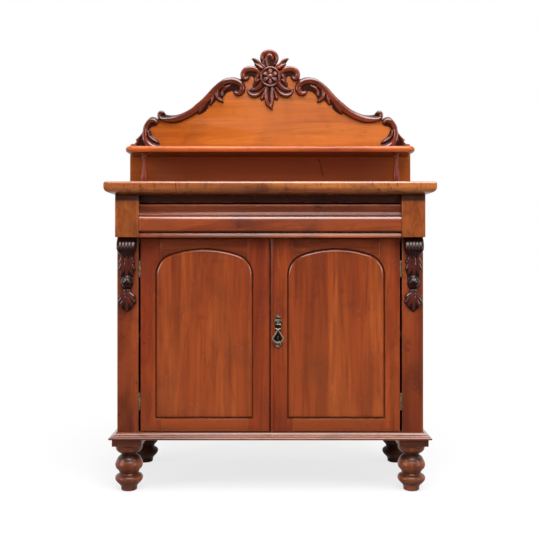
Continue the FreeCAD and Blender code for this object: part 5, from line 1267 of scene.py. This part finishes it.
# The flower: one petal set out round the middle as many times as it has petals.
flower, enter = new_group(
    "petals round a flower", "GeometryNodeTree",
    {"Petal": "Geometry", "Petals": "Int", "Middle": "Vector", "Wood": "Material"},
    {"Flower": "Geometry"},
)
petal, count, middle, wood, *_ = enter
stems = put(flower, "GeometryNodePoints", {"Count": count, "Position": middle})[0]
number = put(flower, "GeometryNodeInputIndex")[0]
turn = put(flower, "CombineXYZ", {"Y": times(sums("DIVIDE", number, count), math.tau)})[0]
facing = put(flower, "FunctionNodeEulerToRotation", {0: turn})[0]
opened = {"Points": stems, "Instance": petal, "Rotation": facing}
give_out(flower, put(flower, "GeometryNodeInstanceOnPoints", opened)[0], wood, "Flower")
middle = Vector((0, 0, ROSE_Z)) * MM
petals = grown(flower, set_down("petal", one_petal), petals=6, middle=middle, wood=carved_cedar)
add_piece("crest_flower_petals", petals, carved_cedar, "carved_wood", "crest_rosette")
add_piece("crest_flower_ring", shell_of(rose_loops), carved_cedar, "carved_wood", "crest_rosette")

# --- Corbels
# A carved drop on each pilaster under the frieze block: a fluted volute that rolls forward,
# a leaf that narrows to a round knob, and a palmette that ends in a point.

CORBEL_X = -439.5
CORBEL_HALF, VOLUTE_FOOT = 29, 728
KNOB_Z, KNOB_RADIUS = 645, 20
corbel_profile = through([
    (783, 12), (779.5, 17), (774, 22), (767, 26.6), (759, 30.4), (751, 32.6), (743, 32.4), (735.5, 28), (729, 20),
    (722, 14.5), (712, 14), (694, 14.5), (676, 12), (662, 8), (650, 6), (636, 5.5), (622, 6.5), (610, 9), (596, 11.5),
    (582, 11), (568, 8), (553, 4),
], steps=6)


def corbel_swell(x, z):
    """How far the corbel stands out at a height, with its knob and the flutes of its volute."""
    out = corbel_profile[-1][1]
    for (high, first), (low, last) in zip(corbel_profile, corbel_profile[1:]):
        if low <= z <= high:
            out = last + (first - last) * (z - low) / (high - low)
    across = (x - CORBEL_X) / CORBEL_HALF
    if z > VOLUTE_FOOT:
        flute = 0.5 - 0.5 * math.cos(across * math.pi * 6)
        out -= 1.4 * flute * min((z - VOLUTE_FOOT) / 12, 1)
    aside, up = x - CORBEL_X, z - KNOB_Z
    knob = KNOB_RADIUS ** 2 - aside ** 2 - up ** 2
    if knob > 0:
        lobes = 0.5 + 0.5 * math.cos(6 * math.atan2(aside, up))
        out = max(out, 4 + math.sqrt(knob) - 2.2 * lobes * min(math.hypot(aside, up) / 14, 1))
    return out - 2.5


half_outline = [
    (29.5, 783), (30.5, 764), (29.5, 746), (25.5, 735), (20, 727), (21.5, 718), (26, 708), (22.5, 701), (24, 694),
    (27.5, 686), (23, 680), (21, 672), (19.5, 662), (19.8, 650), (19.5, 640), (16, 630), (11, 622), (14, 614),
    (24, 608), (27, 600), (23, 596), (28, 590), (28, 581), (22, 576), (19, 570), (13, 563), (5, 557), (0, 553),
]
corbel_outline = through(
    whole(half_outline, CORBEL_X, 0), sharp=(0, 4, 7, 10, 20, 27, 34, 44, 47, 50, 54), steps=3, closed=True
)
leaf_lines = [
    ([(0, 722, 5), (0, 704, 6.5), (0, 682, 6), (0, 664, 4)], 2.0),
    ([(12, 724, 4), (16, 714, 6), (23, 706, 5)], 1.8),
    ([(10, 714, 4), (15, 700, 6.5), (24, 689, 5)], 1.8),
    ([(9, 696, 4), (12, 684, 6), (18, 672, 5)], 1.6),
    ([(0, 620, 4), (0, 598, 6), (0, 578, 6), (0, 560, 4)], 1.8),
    ([(6, 620, 3), (13, 610, 5), (22, 604, 5)], 2),
    ([(7, 608, 3), (15, 597, 5), (24, 588, 5)], 2),
    ([(6, 595, 3), (12, 583, 5), (18, 574, 4.5)], 2),
]
corbels = bmesh.new()
carve(
    corbels, corbel_outline, both_hands(leaf_lines, CORBEL_X), CASE_FRONT, ground=0.5, rounding=5, grid=1.4,
    swell=corbel_swell,
)
other_hand(corbels)
corbel_cedar = polished_cedar(
    "corbel cedar", (112, 48, 34), (82, 33, 24), (48, 18, 14), "Z", 19, rings=0.3, stain=0.3, rub=0.25,
    gloss=0.17, polish=0.5,
)
polish_ridges_shade_hollows(corbel_cedar)
add_carving("corbels", corbels, corbel_cedar)

# --- Room, light and camera
# A plain pale floor that fades to white away from the piece, a dim studio with a white
# side behind it, soft boxes overhead and to the sides, and a level camera in front.

scene = bpy.context.scene
scene.view_settings.view_transform = "Standard"


def rays(tree):
    """Which rays come from the eye, and which look round the room from the polish."""
    ray = put(tree, "LightPath")
    return ray["Is Camera Ray"], sums("MAXIMUM", ray["Is Glossy Ray"], ray["Is Transmission Ray"])


floor_paint, tree, place = new_surface("pale floor")
eye, gloss = rays(tree)
distance = put(tree, "VectorMath", {0: place}, operation="LENGTH")["Value"]
back = spread(axis(place, "Y"), -0.6, 0.8, 0.06, 1.0)
bare = times(spread(distance, 0.5, 1.4, 0.76, 1.0), eye)
grey = blend(eye, (0.42, 0.42, 0.42, 1), (0.86, 0.86, 0.86, 1))
paint = put(tree, "BsdfDiffuse", {"Color": grey})[0]
white = put(tree, "Emission", {"Color": blend(gloss, (1, 1, 1, 1), back), "Strength": 1.0})[0]
mixed = put(tree, "MixShader", {0: sums("MAXIMUM", bare, gloss), 1: paint, 2: white})[0]
put(tree, "OutputMaterial", {"Surface": mixed})
disc = bmesh.new()
bmesh.ops.create_circle(disc, cap_ends=True, segments=96, radius=60)
floor = set_down("floor", disc)
floor.data.materials.append(floor_paint)

room = bpy.data.worlds.new("studio")
room.use_nodes = True
scene.world = room
tree = room.node_tree
tree.nodes.clear()
eye, gloss = rays(tree)
way = axis(put(tree, "TexCoord")["Generated"], "Y")
mirrored = times(gloss, spread(way, -0.1, 0.3, 0.06, 1.0))
soft = times(sums("SUBTRACT", 1.0, gloss), 0.24)
strength = sums("MAXIMUM", eye, sums("ADD", mirrored, soft))
sky = put(tree, "Background", {"Color": (1, 1, 1, 1), "Strength": strength})[0]
put(tree, "OutputWorld", {"Surface": sky})

for name, place, target, width, height, watts in (
    ("key_box", (0.5, -2.6, 4.4), (0, 0, 0.6), 3.2, 2.0, 158),
    ("front_box", (0.6, -3.3, 3.1), (0, 0, 0.8), 2.6, 0.9, 15),
    ("left_box", (-4.2, -2.3, 2.0), (0, 0, 0.6), 2.0, 2.4, 78),
    ("right_box", (4.2, -2.6, 1.9), (0, 0, 0.6), 2.0, 2.4, 62),
    ("top_box", (0.2, -0.7, 4.6), (0, 0.1, 0.9), 4.0, 2.4, 150),
):
    box = bpy.data.lights.new(name, "AREA")
    box.shape = "RECTANGLE"
    box.size, box.size_y, box.energy = width, height, watts
    lamp = bpy.data.objects.new(name, box)
    lamp.location = place
    lamp.rotation_euler = (Vector(target) - Vector(place)).to_track_quat("-Z", "Y").to_euler()
    scene.collection.objects.link(lamp)

lens = bpy.data.cameras.new("camera")
lens.lens = 50.0
lens.sensor_width = 36
lens.shift_x = -0.0004
lens.shift_y = -0.0333
camera = bpy.data.objects.new("camera", lens)
camera.location = (0, -2.4675, 0.738)
camera.rotation_euler = (math.pi / 2, 0, 0)
scene.collection.objects.link(camera)
scene.camera = camera
